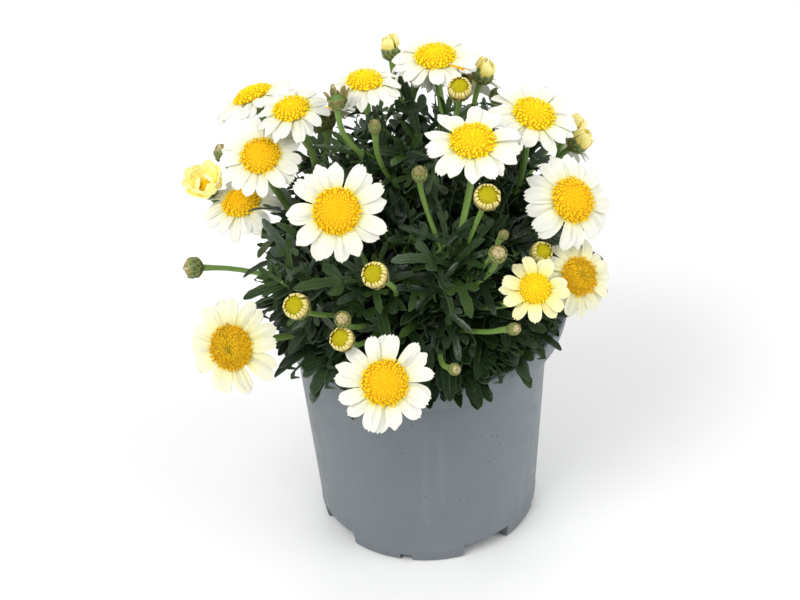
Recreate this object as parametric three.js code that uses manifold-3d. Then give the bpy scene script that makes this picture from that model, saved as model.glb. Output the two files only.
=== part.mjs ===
// Potted marguerite daisy: leafy shoots rooted in the soil of a thin plastic nursery pot, white, creamy and
// pale yellow blooms on long stalks, and buds that are closed or just opening.
// Millimetres, +Z up. The origin is the centre of the pot's flat base. The side with most blooms faces -Y.
import * as THREE from "three";
import { mergeVertices } from "three/addons/utils/BufferGeometryUtils.js";
import Module from "manifold-3d";

const wasm = await Module();
wasm.setup();

const GAP = 0.35; // between pieces that touch

// Pot
const POT_HEIGHT = 113;
const RIM_RADIUS = 65;
const SHOULDER_RADIUS = 62; // under the rim band
const FOOT_RADIUS = 54;
const FOOT_CHAMFER = 1.2;
const WALL = 1.6;
const RIM_BAND = 11.5; // height of the turned-down band round the mouth
const RIM_LEDGE = 5.3; // width of the flat top of the rim
const POT_SIDES = 32;
const MOUTH_BULGE = 7; // the thin mouth is pulled out of round towards +X
const BULGE_SPREAD = 28; // degrees
const BULGE_DEPTH = 27; // how far down the wall it fades out
const RECESS_COUNT = 4; // raised stretches of the foot, where the pot drains
const RECESS_BEARING = -59;
const RECESS_WIDTH = 28; // degrees
const RECESS_HEIGHT = 7.6;
const RECESS_DEPTH = 12;
const DRAIN_HOLE = 6;
const NOTCH_WIDTH = 6; // the small drain notch in the middle of each standing stretch of the foot
const NOTCH_HEIGHT = 3.6;
const NOTCH_DEPTH = 6;

// Soil
const SOIL_TOP = 99;
const SOIL_CROWN = 4; // how far the middle stands above the edge
const SOIL_LUMP = 1.4;
const SOIL_SIDES = 20;
const HOLE_SIDES = 6;

// Stems
const STEM_FOOT = 84; // height of the stems' lower ends in the soil
const COLLAR = 106; // height where they leave the soil and start to lean
const STEM_RADIUS = 2.2;
const STEM_SIDES = 6;
const CORE_RADIUS = 20; // the dense middle of a shoot, which the leaves stand out of
const CORE_HALF_LENGTH = 36;

// Leaves
const LEAF_THICKNESS = 0.7;
const LEAF_CLEARANCE = 0.5;
const LEAF_ROOT = 0.2; // share of a leaf's length that is close to its stem
const LEAF_CURL = 0.85; // how far a leaf's tip bends down, in radians
const LEAF_FOLD = 0.3; // rise of the blade away from its midrib
const LEAF_SPACING = 9.6; // along a stem
const LEAF_SPREAD = 105; // degrees to each side of the way out
const GOLDEN_SHARE = 0.618;
// Half of a leaf's outline as [share of its length, half-width over its length], the places where its midrib
// is divided, and the triangles of one half: the outline's points count from 0, a and b are the midrib's.
const LARGE_LEAF = {
  half: [[0, 0.035], [0.34, 0.055], [0.63, 0.27], [0.58, 0.08], [0.86, 0.19], [0.78, 0.065]],
  ribs: [0.34, 0.7],
  corners: [[0, 1, "a"], [1, 2, 3], [1, 3, "a"], [3, "b", "a"], [3, 5, "b"], [3, 4, 5], [5, 6, "b"]],
};
const SMALL_LEAF = {
  half: [[0, 0.045], [0.42, 0.07], [0.76, 0.25], [0.68, 0.08]],
  ribs: [0.5],
  corners: [[0, 1, "a"], [1, 2, 3], [1, 3, "a"], [3, 4, "a"]],
};

// Blooms
const RAY_THICKNESS = 0.7;
const RAY_COUNT = 11;
const RAY_ARCH = 1.2;
const RAY_HALF_WIDTH = 4.4; // at most, on a full bloom
const DISC_SIDES = 10;
const DISC_SHARE = 0.46; // of a bloom's radius
const BUD_CENTRE_SIDES = 8;
const STALK_RADIUS = 1.4;
const STALK_SIDES = 4;
const BUD_SIDES = 5;
const NECK = 11; // the stretch of stalk under a head that lines up with its face
const CENTRE_REACH = 40; // heads nearer the axis than this are carried by the middle shoot

// Heads: [kind, bearing, out, up, bearing that it faces, rise of its face, width]
const BLOOMS = [
  ["white", 65, 31, 241, -90, 84, 43],
  ["white", 166, 21, 243.5, -95, 88, 37],
  ["white", 149, 88, 214.5, 144, 64, 43],
  ["white", 172, 56, 228.5, -127, 78, 38],
  ["white", -177, 71, 211, -101, 60, 42],
  ["white", 175, 83, 178.5, -135, 70, 42],
  ["young", 170, 101, 182, -110, 60, 30],
  ["white", -121, 68.5, 214.5, -92, 38, 49],
  ["white", -52, 45, 233, -90, 74, 47],
  ["white", -1, 57.5, 224.5, -44, 69, 45],
  ["white", -25.5, 80.5, 198, -54, 41, 48],
  ["cream", -34.5, 90, 166.5, -58, 36, 40],
  ["yellow", -55, 92, 178, -85, 50, 34],
  ["cream", -151.5, 102, 134, -115, 28, 49],
  ["white", -100, 101, 147, -90, 36, 48],
  ["white", 138, 58, 205, 115, 45, 38],
  ["old", 82, 42, 227, 50, 58, 34],
  ["white", 40, 92, 176, 45, 42, 47],
  ["white", 72, 80, 202, 78, 46, 46],
  ["cream", 104, 104, 138, 104, 30, 46],
  ["white", 128, 92, 180, 128, 44, 48],
];
const BUDS = [
  ["closed", 160, 98, 192, 150, 70, 9],
  ["closed", 179, 110, 146, -170, 10, 11],
  ["open", -127, 94, 175, -115, 46, 12],
  ["open", -103.5, 85, 195.5, -120, 47, 12],
  ["closed", -112, 94, 175, -95, 45, 8],
  ["open", -112, 97, 166, -118, 46, 11],
  ["open", -14, 24, 244.5, -90, 60, 11],
  ["open", -60, 66, 217.5, -80, 50, 12],
  ["closed", -87, 54, 230, -90, 60, 7.5],
  ["closed", -64, 83, 198, -80, 50, 9],
  ["closed", -60, 79, 204, -70, 50, 5],
  ["open", -42, 77.5, 182, -60, 45, 10],
  ["closed", -64, 97.5, 165, -50, 30, 6],
  ["closed", -81.5, 99, 151.5, -70, 30, 6],
  ["closed", -157, 36, 247, -90, 85, 9],
  ["closed", -121, 32, 240, -90, 80, 6],
  ["half", 98, 56, 231.5, 100, 75, 10],
  ["half", 44, 50, 228, 10, 70, 11],
  ["half", 6, 80, 203, -5, 40, 11],
  ["half", 18, 82, 200, 20, 50, 10],
  ["closed", 60, 89, 190, 60, 40, 9],
];

// Shoots: [bearing, first and last bearing of the heads that it carries, out at the soil, out and up of its
// top]. The first stands in the middle.
const SHOOTS = [
  [0, 0, 0, 0, 4, 208],
  [142, 130, 162, 26, 52, 178],
  [180, 162, -166, 28, 56, 172],
  [-148, -166, -135, 28, 58, 162],
  [-112, -135, -96, 26, 54, 168],
  [-72, -96, -50, 28, 52, 174],
  [-32, -50, -13, 26, 54, 170],
  [12, -13, 44, 28, 50, 178],
  [78, 44, 130, 26, 54, 172],
];

const COLOURS = {
  pot: 0x7d8688,
  soil: 0x2a211b,
  leaf: 0x2f4a33,
  white: 0xf6f4ec,
  old: 0xf6f4ec,
  cream: 0xf3efc8,
  yellow: 0xf4e98a,
  young: 0xf4e98a,
  disc: 0xf5c518,
  budCentre: 0xb9b81c,
};

const radians = THREE.MathUtils.degToRad;

// A seeded draw between low and high, the same in each run.
let drawState = 7;
function draw(low, high) {
  drawState = (drawState * 1664525 + 1013904223) % 4294967296;
  return low + ((high - low) * drawState) / 4294967296;
}

// A point from its bearing round the pot's axis in degrees, its distance out from the axis and its height.
function polar(bearing, out, up) {
  return new THREE.Vector3(out * Math.cos(radians(bearing)), out * Math.sin(radians(bearing)), up);
}

// A unit direction from its bearing and its rise above the horizon, in degrees.
function heading(bearing, rise) {
  return polar(bearing, Math.cos(radians(rise)), Math.sin(radians(rise)));
}

function geometryOf(positions, faces) {
  const geometry = new THREE.BufferGeometry();
  const numbers = positions.flatMap((point) => point.toArray());
  geometry.setAttribute("position", new THREE.Float32BufferAttribute(numbers, 3));
  geometry.setIndex(faces.flat());
  return geometry;
}

function solidOf(geometry) {
  const bare = geometry.clone();
  bare.deleteAttribute("normal");
  bare.deleteAttribute("uv");
  const merged = mergeVertices(bare, 1e-3);
  const vertProperties = new Float32Array(merged.attributes.position.array);
  const triVerts = new Uint32Array(merged.index.array);
  return new wasm.Manifold(new wasm.Mesh({ numProp: 3, vertProperties, triVerts }));
}

function geometryFrom(solid) {
  const { vertProperties, triVerts } = solid.getMesh();
  const geometry = new THREE.BufferGeometry();
  geometry.setAttribute("position", new THREE.BufferAttribute(vertProperties, 3));
  geometry.setIndex(new THREE.BufferAttribute(triVerts, 1));
  geometry.computeVertexNormals();
  return geometry;
}

// Pot

// Pulls the points of a turned shape out of round near the mouth.
function bulge(geometry) {
  const position = geometry.attributes.position;
  for (let i = 0; i < position.count; i++) {
    const x = position.getX(i);
    const y = position.getY(i);
    const turn = THREE.MathUtils.radToDeg(Math.atan2(y, x)) / BULGE_SPREAD;
    const fade = THREE.MathUtils.smoothstep(position.getZ(i), POT_HEIGHT - BULGE_DEPTH, POT_HEIGHT);
    const share = (MOUTH_BULGE * fade * Math.exp(-turn * turn)) / RIM_RADIUS;
    position.setXY(i, x * (1 + share), y * (1 + share));
  }
  return geometry;
}

// A shape turned round the pot's axis from [out, up] points, upright.
function turned(profile, sides) {
  const points = profile.map(([out, up]) => new THREE.Vector2(out, up));
  return new THREE.LatheGeometry(points, sides).rotateX(Math.PI / 2);
}

// The outer radius of the pot's wall at a height.
function wallRadius(up) {
  return THREE.MathUtils.mapLinear(up, 0, POT_HEIGHT - RIM_BAND, FOOT_RADIUS, SHOULDER_RADIUS);
}

// A block that reaches out along a bearing, for what is cut from the foot.
function footBlock(bearing, nearOut, farOut, width, low, high) {
  const block = new THREE.BoxGeometry(farOut - nearOut, width, high - low);
  block.translate((nearOut + farOut) / 2, 0, (low + high) / 2);
  return solidOf(block.rotateZ(radians(bearing)));
}

// One recess of the foot, as a wedge of a ring; grow widens it on every side, for the plastic that lines it.
function recess(bearing, grow) {
  const near = FOOT_RADIUS - RECESS_DEPTH - grow;
  const far = FOOT_RADIUS + 4;
  const half = radians(RECESS_WIDTH / 2) + grow / FOOT_RADIUS;
  const middle = radians(bearing);
  const shape = new THREE.Shape();
  shape.absarc(0, 0, far, middle - half, middle + half, false);
  shape.absarc(0, 0, near, middle + half, middle - half, true);
  shape.closePath();
  const below = 2;
  const options = { depth: RECESS_HEIGHT + grow + below, bevelEnabled: false, curveSegments: 4 };
  return solidOf(new THREE.ExtrudeGeometry(shape, options).translate(0, 0, -below));
}

const recessPitch = 360 / RECESS_COUNT;
const recessBearings = Array.from({ length: RECESS_COUNT }, (_, i) => RECESS_BEARING + recessPitch * i);
const mouthRadius = RIM_RADIUS - RIM_LEDGE;
const insideFoot = wallRadius(4) - WALL; // the inner radius just above the bottom, at a height of 4

function buildPot() {
  const bandBottom = POT_HEIGHT - RIM_BAND;
  const outer = [
    [0, 0],
    [FOOT_RADIUS - FOOT_CHAMFER, 0],
    [FOOT_RADIUS, FOOT_CHAMFER],
    [SHOULDER_RADIUS, bandBottom],
    [wallRadius(POT_HEIGHT - 2 * WALL) - 0.4, POT_HEIGHT - WALL],
    [RIM_RADIUS - WALL, POT_HEIGHT - WALL],
    [RIM_RADIUS - WALL - 0.3, bandBottom],
    [RIM_RADIUS - 0.5, bandBottom],
    [RIM_RADIUS, POT_HEIGHT - 0.8],
    [RIM_RADIUS - 0.8, POT_HEIGHT],
    [0, POT_HEIGHT],
  ];
  const inner = [
    [0, WALL],
    [FOOT_RADIUS - WALL - 0.6, WALL],
    [insideFoot, 4],
    [mouthRadius, POT_HEIGHT - 3],
    [mouthRadius + 0.6, POT_HEIGHT + 3],
    [0, POT_HEIGHT + 3],
  ];
  let shell = solidOf(bulge(turned(outer, POT_SIDES)));
  let hollow = solidOf(bulge(turned(inner, POT_SIDES)));
  for (const bearing of recessBearings) {
    shell = shell.subtract(recess(bearing, 0));
    hollow = hollow.subtract(recess(bearing, WALL));
  }
  let pot = shell.subtract(hollow);
  const holeOut = FOOT_RADIUS - RECESS_DEPTH + 1;
  for (const bearing of recessBearings) {
    for (const side of [-1, 1]) {
      const holeBearing = bearing + side * (RECESS_WIDTH / 2 - DRAIN_HOLE);
      const low = RECESS_HEIGHT - 1;
      const hole = footBlock(holeBearing, holeOut, holeOut + DRAIN_HOLE, DRAIN_HOLE, low, low + 2 * WALL);
      pot = pot.subtract(hole);
    }
    const between = bearing + recessPitch / 2;
    const notchNear = FOOT_RADIUS - NOTCH_DEPTH;
    const notch = footBlock(between, notchNear, FOOT_RADIUS + 3, NOTCH_WIDTH, -1, NOTCH_HEIGHT);
    pot = pot.subtract(notch);
  }
  return pot;
}

// Soil

function buildSoil() {
  const low = WALL + GAP;
  const wallAtTop = THREE.MathUtils.mapLinear(SOIL_TOP, 4, POT_HEIGHT - 3, insideFoot, mouthRadius);
  const topOut = wallAtTop - GAP;
  const profile = [
    [0, low],
    [FOOT_RADIUS - WALL - 0.6 - GAP, low],
    [insideFoot - GAP, 4],
    [topOut, SOIL_TOP - 1],
    [topOut * 0.75, SOIL_TOP + SOIL_CROWN * 0.4],
    [topOut * 0.4, SOIL_TOP + SOIL_CROWN * 0.8],
    [0, SOIL_TOP + SOIL_CROWN],
  ];
  const geometry = bulge(turned(profile, SOIL_SIDES));
  const position = geometry.attributes.position;
  for (let i = 0; i < position.count; i++) {
    if (position.getZ(i) < SOIL_TOP) continue;
    const lump = Math.sin(position.getX(i) * 0.31) + Math.sin(position.getY(i) * 0.37 + 1);
    position.setZ(i, position.getZ(i) + SOIL_LUMP * lump);
  }
  let soil = solidOf(geometry);
  for (const bearing of recessBearings) soil = soil.subtract(recess(bearing, WALL + GAP));
  for (const shoot of shoots) soil = soil.subtract(stemHole(shoot));
  return soil;
}

// The plain upright hole in the soil that a stem stands in.
function stemHole(shoot) {
  const radius = (STEM_RADIUS + GAP) / Math.cos(Math.PI / HOLE_SIDES);
  const low = STEM_FOOT - GAP;
  const high = COLLAR + 2;
  const hole = new THREE.CylinderGeometry(radius, radius, high - low, HOLE_SIDES).rotateX(Math.PI / 2);
  return solidOf(hole.translate(shoot.foot.x, shoot.foot.y, (low + high) / 2));
}

// Shapes that plants are made of

// A thin closed sheet from its upper points and triangles, its rim in order, and the way down at each point.
function sheet(upper, triangles, rim, depths) {
  const count = upper.length;
  const lower = upper.map((point, i) => point.clone().add(depths[i]));
  const faces = [];
  for (const [a, b, c] of triangles) faces.push([a, b, c], [a + count, c + count, b + count]);
  rim.forEach((a, i) => {
    const b = rim[(i + 1) % rim.length];
    faces.push([a, a + count, b + count], [a, b + count, b]);
  });
  return geometryOf([...upper, ...lower], faces);
}

// A round shape swept through points, with a radius at each; the ends are capped.
function sweep(points, radii, sides) {
  const positions = [];
  const faces = [];
  const tangents = points.map((p, i) => {
    const before = points[Math.max(i - 1, 0)];
    const after = points[Math.min(i + 1, points.length - 1)];
    return after.clone().sub(before).normalize();
  });
  const across = new THREE.Vector3(0.31, 0.52, 0.1).cross(tangents[0]).normalize();
  points.forEach((point, i) => {
    across.addScaledVector(tangents[i], -across.dot(tangents[i])).normalize();
    const beside = tangents[i].clone().cross(across);
    for (let k = 0; k < sides; k++) {
      const angle = (2 * Math.PI * k) / sides;
      const spot = point.clone().addScaledVector(across, radii[i] * Math.cos(angle));
      positions.push(spot.addScaledVector(beside, radii[i] * Math.sin(angle)));
    }
  });
  for (let i = 0; i + 1 < points.length; i++) {
    for (let k = 0; k < sides; k++) {
      const [a, b] = [i * sides + k, i * sides + ((k + 1) % sides)];
      faces.push([a, b, b + sides], [a, b + sides, a + sides]);
    }
  }
  const last = (points.length - 1) * sides;
  for (let k = 1; k + 1 < sides; k++) faces.push([0, k + 1, k], [last, last + k, last + k + 1]);
  return geometryOf(positions, faces);
}

// A deeply cut leaf, folded along its midrib and arched. It grows from its root along a direction, with its
// upper side towards up; it starts at a share of its length, and extra thickens it on every side.
function buildLeaf(form, root, along, up, length, start, extra) {
  const aside = up.clone().cross(along).normalize();
  const above = along.clone().cross(aside).normalize();
  const size = length * (1 + extra / 12);
  const points = [];
  const depths = [];
  const addPoint = (share, half) => {
    const angle = LEAF_CURL * Math.max(share, start);
    const run = (size * Math.sin(angle)) / LEAF_CURL;
    const fall = (size * (1 - Math.cos(angle))) / LEAF_CURL;
    const rise = Math.abs(half) * length * LEAF_FOLD - fall + extra;
    const point = root.clone().addScaledVector(along, run).addScaledVector(aside, half * size);
    points.push(point.addScaledVector(above, rise));
    const depth = -(LEAF_THICKNESS + 2 * extra);
    const down = above.clone().multiplyScalar(depth * Math.cos(angle));
    depths.push(down.addScaledVector(along, depth * Math.sin(angle)));
  };
  for (const [share, width] of form.half) addPoint(share, -width);
  addPoint(1, 0);
  for (const [share, width] of form.half.toReversed()) addPoint(share, width);
  for (const share of form.ribs) addPoint(share, 0);
  const last = 2 * form.half.length;
  const rib = { a: last + 1, b: last + 2 };
  const triangles = [[0, rib.a, last]];
  for (const corner of form.corners) {
    const [p, q, r] = corner;
    triangles.push([p, q, r].map((i) => rib[i] ?? i));
    triangles.push([p, r, q].map((i) => rib[i] ?? last - i));
  }
  const rim = Array.from({ length: last + 1 }, (_, i) => i);
  return sheet(points, triangles, rim, depths);
}

// The matrix that sets a head, built facing +Z at the origin, at its place on the plant.
function headMatrix(head) {
  const turn = new THREE.Quaternion().setFromUnitVectors(new THREE.Vector3(0, 0, 1), head.face);
  return new THREE.Matrix4().compose(head.centre, turn, new THREE.Vector3(1, 1, 1));
}

// The ring of ray florets as one closed sheet: a hub under the disc, and strap-shaped rays in two layers.
function buildRays(head) {
  const { radius, hub, bend } = head;
  const halfPitch = Math.PI / RAY_COUNT;
  const base = hub * halfPitch * 0.72;
  const upper = [new THREE.Vector3()];
  const triangles = [];
  const rim = [];
  const spin = draw(0, 360);
  for (let k = 0; k < RAY_COUNT; k++) {
    const middle = radians(spin + (360 * k) / RAY_COUNT + draw(-1.5, 1.5));
    const reach = (radius - hub) * draw(0.92, 1.02);
    const lift = draw(-0.4, 0.4) + (k % 2 ? 0.6 : -0.6);
    const outAt = (share) => hub + reach * share * Math.cos(bend * (0.35 + 0.65 * share));
    const wide = Math.min(outAt(0.7) * halfPitch * 0.85, RAY_HALF_WIDTH);
    const outline = [[0, -base], [0.7, -wide], [1, -wide * 0.45], [1, wide * 0.45], [0.7, wide], [0, base]];
    const first = upper.length;
    for (const [share, aside] of outline) {
      const fall = reach * share * Math.sin(bend * (0.35 + 0.65 * share));
      const up = lift * share + RAY_ARCH * Math.sin(Math.PI * share) - fall;
      const x = outAt(share) * Math.cos(middle) - aside * Math.sin(middle);
      const y = outAt(share) * Math.sin(middle) + aside * Math.cos(middle);
      rim.push(upper.push(new THREE.Vector3(x, y, up)) - 1);
    }
    const next = k + 1 < RAY_COUNT ? first + outline.length : 1;
    for (const [a, b, c] of [[0, 1, 4], [0, 4, 5], [1, 2, 3], [1, 3, 4]]) {
      triangles.push([first + a, first + b, first + c]);
    }
    triangles.push([0, first, first + 5], [0, first + 5, next]);
  }
  const depth = new THREE.Vector3(0, 0, -RAY_THICKNESS);
  return sheet(upper, triangles, rim, upper.map(() => depth)).applyMatrix4(headMatrix(head));
}

// A dome of disc florets: rings whose points stand out and sink in by turns.
function buildDome(head, radius, height, relief, sides) {
  // Each ring: its radius and height as shares of the dome's, and how strongly its florets stand out.
  const rings = [[0.9, 0, 0], [1, 0.3, 1], [0.7, 0.84, -1]];
  const positions = [];
  const faces = [];
  rings.forEach(([share, up, bump], i) => {
    for (let k = 0; k < sides; k++) {
      const stand = (k + i) % 2 ? relief : -relief;
      const out = radius * share + stand * Math.abs(bump) * (1 - up * 0.5);
      const angle = (2 * Math.PI * (k + i * 0.5)) / sides;
      const rise = GAP + height * up + stand * bump * up;
      positions.push(new THREE.Vector3(out * Math.cos(angle), out * Math.sin(angle), rise));
    }
  });
  const lastRing = (rings.length - 1) * sides;
  const apex = positions.push(new THREE.Vector3(0, 0, GAP + height * 0.94)) - 1;
  for (let i = 0; i + 1 < rings.length; i++) {
    for (let k = 0; k < sides; k++) {
      const [a, b] = [i * sides + k, i * sides + ((k + 1) % sides)];
      faces.push([a, b, a + sides], [b, b + sides, a + sides]);
    }
  }
  for (let k = 0; k < sides; k++) {
    faces.push([lastRing + k, lastRing + ((k + 1) % sides), apex]);
    if (k > 0 && k + 1 < sides) faces.push([0, k + 1, k]);
  }
  return geometryOf(positions, faces).applyMatrix4(headMatrix(head));
}

// A stalk from its stem to its head, bowed aside; its radii swell into the green cup under the head.
function buildStalk(head, from, away, bow, extra) {
  const neck = head.centre.clone().addScaledVector(head.face, -NECK);
  const span = from.distanceTo(neck);
  const first = from.clone().addScaledVector(away, span * 0.35).add(bow);
  const second = neck.clone().addScaledVector(head.face, -span * 0.3).add(bow);
  const points = new THREE.CubicBezierCurve3(from, first, second, neck).getPoints(span > 50 ? 3 : 2);
  const radii = points.map(() => STALK_RADIUS + extra);
  for (const [along, radius] of head.cup) {
    points.push(head.centre.clone().addScaledVector(head.face, along));
    radii.push(radius > 2 * STALK_RADIUS ? radius : radius + extra);
  }
  return sweep(points, radii, head.sides);
}

// The dense middle of a shoot, as a lumpy body round its stem.
function buildCore(shoot, lumps, size, extra) {
  const middle = 0.6;
  const core = new THREE.IcosahedronGeometry(1, 0).deleteAttribute("normal").deleteAttribute("uv");
  const merged = mergeVertices(core);
  const width = CORE_RADIUS * size + extra;
  const position = merged.attributes.position;
  for (let i = 0; i < position.count; i++) {
    const point = new THREE.Vector3().fromBufferAttribute(position, i).multiplyScalar(lumps[i]);
    position.setXYZ(i, point.x * width, point.y * width, point.z * (CORE_HALF_LENGTH * size + extra));
  }
  const turn = new THREE.Quaternion();
  turn.setFromUnitVectors(new THREE.Vector3(0, 0, 1), shoot.curve.getTangentAt(middle));
  const place = shoot.curve.getPointAt(middle);
  return merged.applyMatrix4(new THREE.Matrix4().compose(place, turn, new THREE.Vector3(1, 1, 1)));
}

// The plant's plan: its shoots, blooms and buds with their sizes worked out

const twoDigits = (i) => String(i + 1).padStart(2, "0");

const shoots = SHOOTS.map(([bearing, first, last, footOut, topOut, topUp], i) => {
  const collar = polar(bearing, footOut, COLLAR);
  const bow = polar(bearing, THREE.MathUtils.lerp(footOut, topOut, 0.2), COLLAR + 29);
  const curve = new THREE.QuadraticBezierCurve3(collar, bow, polar(bearing, topOut, topUp));
  const foot = polar(bearing, footOut, STEM_FOOT);
  return { name: `shoot_${twoDigits(i)}`, bearing, first, last, foot, curve };
});

function headOf([kind, bearing, out, up, faceBearing, faceRise, width], name) {
  const face = heading(faceBearing, faceRise);
  return { name, kind, bearing, out, centre: polar(bearing, out, up), face, radius: width / 2 };
}

// The cups are [place along the face's direction, radius] from the stalk to the rays or to the bud's tip.
const blooms = BLOOMS.map((row, i) => {
  const head = headOf(row, `bloom_${twoDigits(i)}`);
  const young = head.kind === "young";
  const disc = young ? 3.6 : head.radius * DISC_SHARE;
  const hub = disc + (young ? 1 : 0.6);
  const bend = radians({ young: -57, old: 50 }[head.kind] ?? draw(6, 22));
  const cup = [[-7, 2], [-4.8, 4.6], [-RAY_THICKNESS - GAP, young ? 4.2 : 6.4]];
  return { ...head, disc, hub, bend, cup, height: young ? 4 : disc * 0.5, sides: STALK_SIDES };
});

const buds = BUDS.map((row, i) => {
  const head = headOf(row, `bud_${twoDigits(i)}`);
  const r = head.radius;
  const cups = {
    closed: [[-5.2, r * 0.4], [-2.4, r], [1, r * 0.85], [3.4, r * 0.25]],
    half: [[-5.2, r * 0.4], [-2.4, r], [1, r * 0.9], [4.5, r * 0.85], [7.6, r * 0.4]],
    open: [[-6.4, r * 0.4], [-4.6, r * 0.9], [-2.2, r], [0, r * 0.8]],
  };
  return { ...head, cup: cups[head.kind], sides: BUD_SIDES };
});
const openBuds = buds.filter((bud) => bud.kind === "open");

// Growing the plant

// Each growth is kept with the name of its piece, so that nothing new crosses another piece.
const grown = [];

function keep(owner, geometry, kind = "body") {
  geometry.computeBoundingBox();
  grown.push({ owner, kind, solid: solidOf(geometry), box: geometry.boundingBox });
}

// A leaf stays clear of the other leaves and stalks of its own shoot too, but not of the shoot's core.
function crosses(owner, geometry, kind) {
  geometry.computeBoundingBox();
  const near = grown.filter((other) => {
    const allowed = other.owner === owner && (kind !== "leaf" || other.kind === "core");
    return !allowed && other.box.intersectsBox(geometry.boundingBox);
  });
  if (near.length === 0) return false;
  const probe = solidOf(geometry);
  return near.some((other) => probe.intersect(other.solid).getMesh().triVerts.length > 0);
}

// Tries a growth up to a number of times, each a little different, and keeps the first that crosses nothing.
function growClear(owner, kind, tries, make) {
  for (let attempt = 0; attempt < tries; attempt++) {
    if (crosses(owner, make(attempt, LEAF_CLEARANCE), kind)) continue;
    keep(owner, make(attempt, 0), kind);
    return true;
  }
  return false;
}

// The shoot that carries a head.
function carrierOf(head) {
  if (head.out < CENTRE_REACH) return shoots[0];
  return shoots.slice(1).find(({ first, last }) => {
    return (head.bearing - first + 720) % 360 <= (last - first + 360) % 360;
  });
}

function growStem(shoot) {
  const points = [shoot.foot, ...shoot.curve.getPoints(4)];
  const radii = points.map((point, i) => STEM_RADIUS * (1 - 0.08 * i));
  keep(shoot.name, sweep(points, radii, STEM_SIDES));
}

// A head's stalk leaves the stem at a height that follows the head's, and bows aside where it would cross.
function growStalk(head) {
  const { name, curve } = carrierOf(head);
  const wanted = head.centre.z * 0.62 + 18;
  const top = curve.getPoint(1).z;
  const share = THREE.MathUtils.clamp((wanted - COLLAR) / (top - COLLAR), 0.06, 0.98);
  const from = curve.getPointAt(share);
  const toHead = head.centre.clone().sub(from).normalize();
  const away = curve.getTangentAt(share).multiplyScalar(0.8).add(toHead).normalize();
  const clear = growClear(name, "stalk", 30, (attempt, extra) => {
    const bow = polar(attempt * 67, attempt * 0.9, attempt % 3 ? 0 : -attempt * 0.5);
    return buildStalk(head, from, away, bow, extra);
  });
  if (!clear) throw new Error(`no clear way for the stalk of ${head.name}`);
}

function growCore(shoot) {
  const lumps = Array.from({ length: 12 }, () => draw(0.8, 1.2));
  growClear(shoot.name, "core", 14, (attempt, extra) => buildCore(shoot, lumps, 1 - 0.06 * attempt, extra));
}

// A leaf that grows from a stem. The part next to the stem isn't tested, because it is rooted there.
function growLeaf(shoot, share, bearing, rise, length) {
  const root = shoot.curve.getPointAt(share);
  const stemward = shoot.curve.getTangentAt(share);
  const form = share < 0.55 ? LARGE_LEAF : SMALL_LEAF;
  growClear(shoot.name, "leaf", 15, (attempt, extra) => {
    const side = heading(bearing + (attempt % 2 ? 5 : -5) * attempt, 0);
    side.addScaledVector(stemward, -side.dot(stemward)).normalize();
    const lift = radians(rise + (attempt % 3) * 9);
    const along = side.clone().multiplyScalar(Math.cos(lift)).addScaledVector(stemward, Math.sin(lift));
    const reach = length * (1 - 0.025 * attempt);
    return buildLeaf(form, root, along, stemward, reach, extra ? LEAF_ROOT : 0, extra);
  });
}

// The leaves of a shoot turn to all sides of the way out, three low ones first, and rise towards the top.
function growLeaves(shoot, index) {
  const spread = index === 0 ? 180 : LEAF_SPREAD;
  const count = Math.round(shoot.curve.getLength() / LEAF_SPACING);
  for (let i = 0; i <= count; i++) {
    const share = THREE.MathUtils.lerp(0.12, 1, i / count);
    const turn = i < 3 ? (i - 1) * 0.5 : (((i + index * 0.37) * GOLDEN_SHARE) % 1) * 2 - 1;
    const rise = THREE.MathUtils.lerp(14, 58, share) + draw(-5, 5);
    const length = THREE.MathUtils.lerp(54, 40, share) * draw(0.93, 1.05);
    growLeaf(shoot, share, shoot.bearing + spread * turn, rise, length);
  }
}

keep("pot", geometryFrom(buildPot()));
keep("soil", geometryFrom(buildSoil()));
for (const bloom of blooms) {
  keep(`${bloom.name}_rays`, buildRays(bloom));
  keep(`${bloom.name}_disc`, buildDome(bloom, bloom.disc, bloom.height, bloom.disc * 0.035, DISC_SIDES));
}
for (const bud of openBuds) {
  keep(`${bud.name}_centre`, buildDome(bud, bud.radius * 0.66, 1.4, 0.2, BUD_CENTRE_SIDES));
}
shoots.forEach(growStem);
[...blooms, ...buds].forEach(growStalk);
shoots.forEach(growCore);
shoots.forEach(growLeaves);

// The pieces

const daisy = new THREE.Group();

// Fuses what belongs to one piece and adds it as a mesh with its own material.
function place(name, colour, roughness) {
  const solids = grown.filter((growth) => growth.owner === name).map((growth) => growth.solid);
  const whole = solids.reduce((sum, solid) => sum.add(solid));
  const finish = { color: colour, roughness, metalness: 0, flatShading: true };
  const mesh = new THREE.Mesh(geometryFrom(whole), new THREE.MeshStandardMaterial(finish));
  mesh.name = name;
  daisy.add(mesh);
}

place("pot", COLOURS.pot, 0.45);
place("soil", COLOURS.soil, 1);
for (const shoot of shoots) place(shoot.name, COLOURS.leaf, 0.6);
for (const bloom of blooms) {
  place(`${bloom.name}_rays`, COLOURS[bloom.kind], 0.7);
  place(`${bloom.name}_disc`, COLOURS.disc, 0.9);
}
for (const bud of openBuds) place(`${bud.name}_centre`, COLOURS.budCentre, 0.9);

export default daisy;
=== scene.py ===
"""Potted marguerite daisy: the finished pieces, their materials, the stage and the camera.

The file is laid out as an add-on, and runs as a script. Lengths in the tables are in millimetres, in the
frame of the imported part: +Z is up, and the origin is the centre of the pot's flat base.
"""

import math
import random

import bmesh
import bpy
import numpy as np
from mathutils import Matrix, Vector, kdtree, noise


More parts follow.
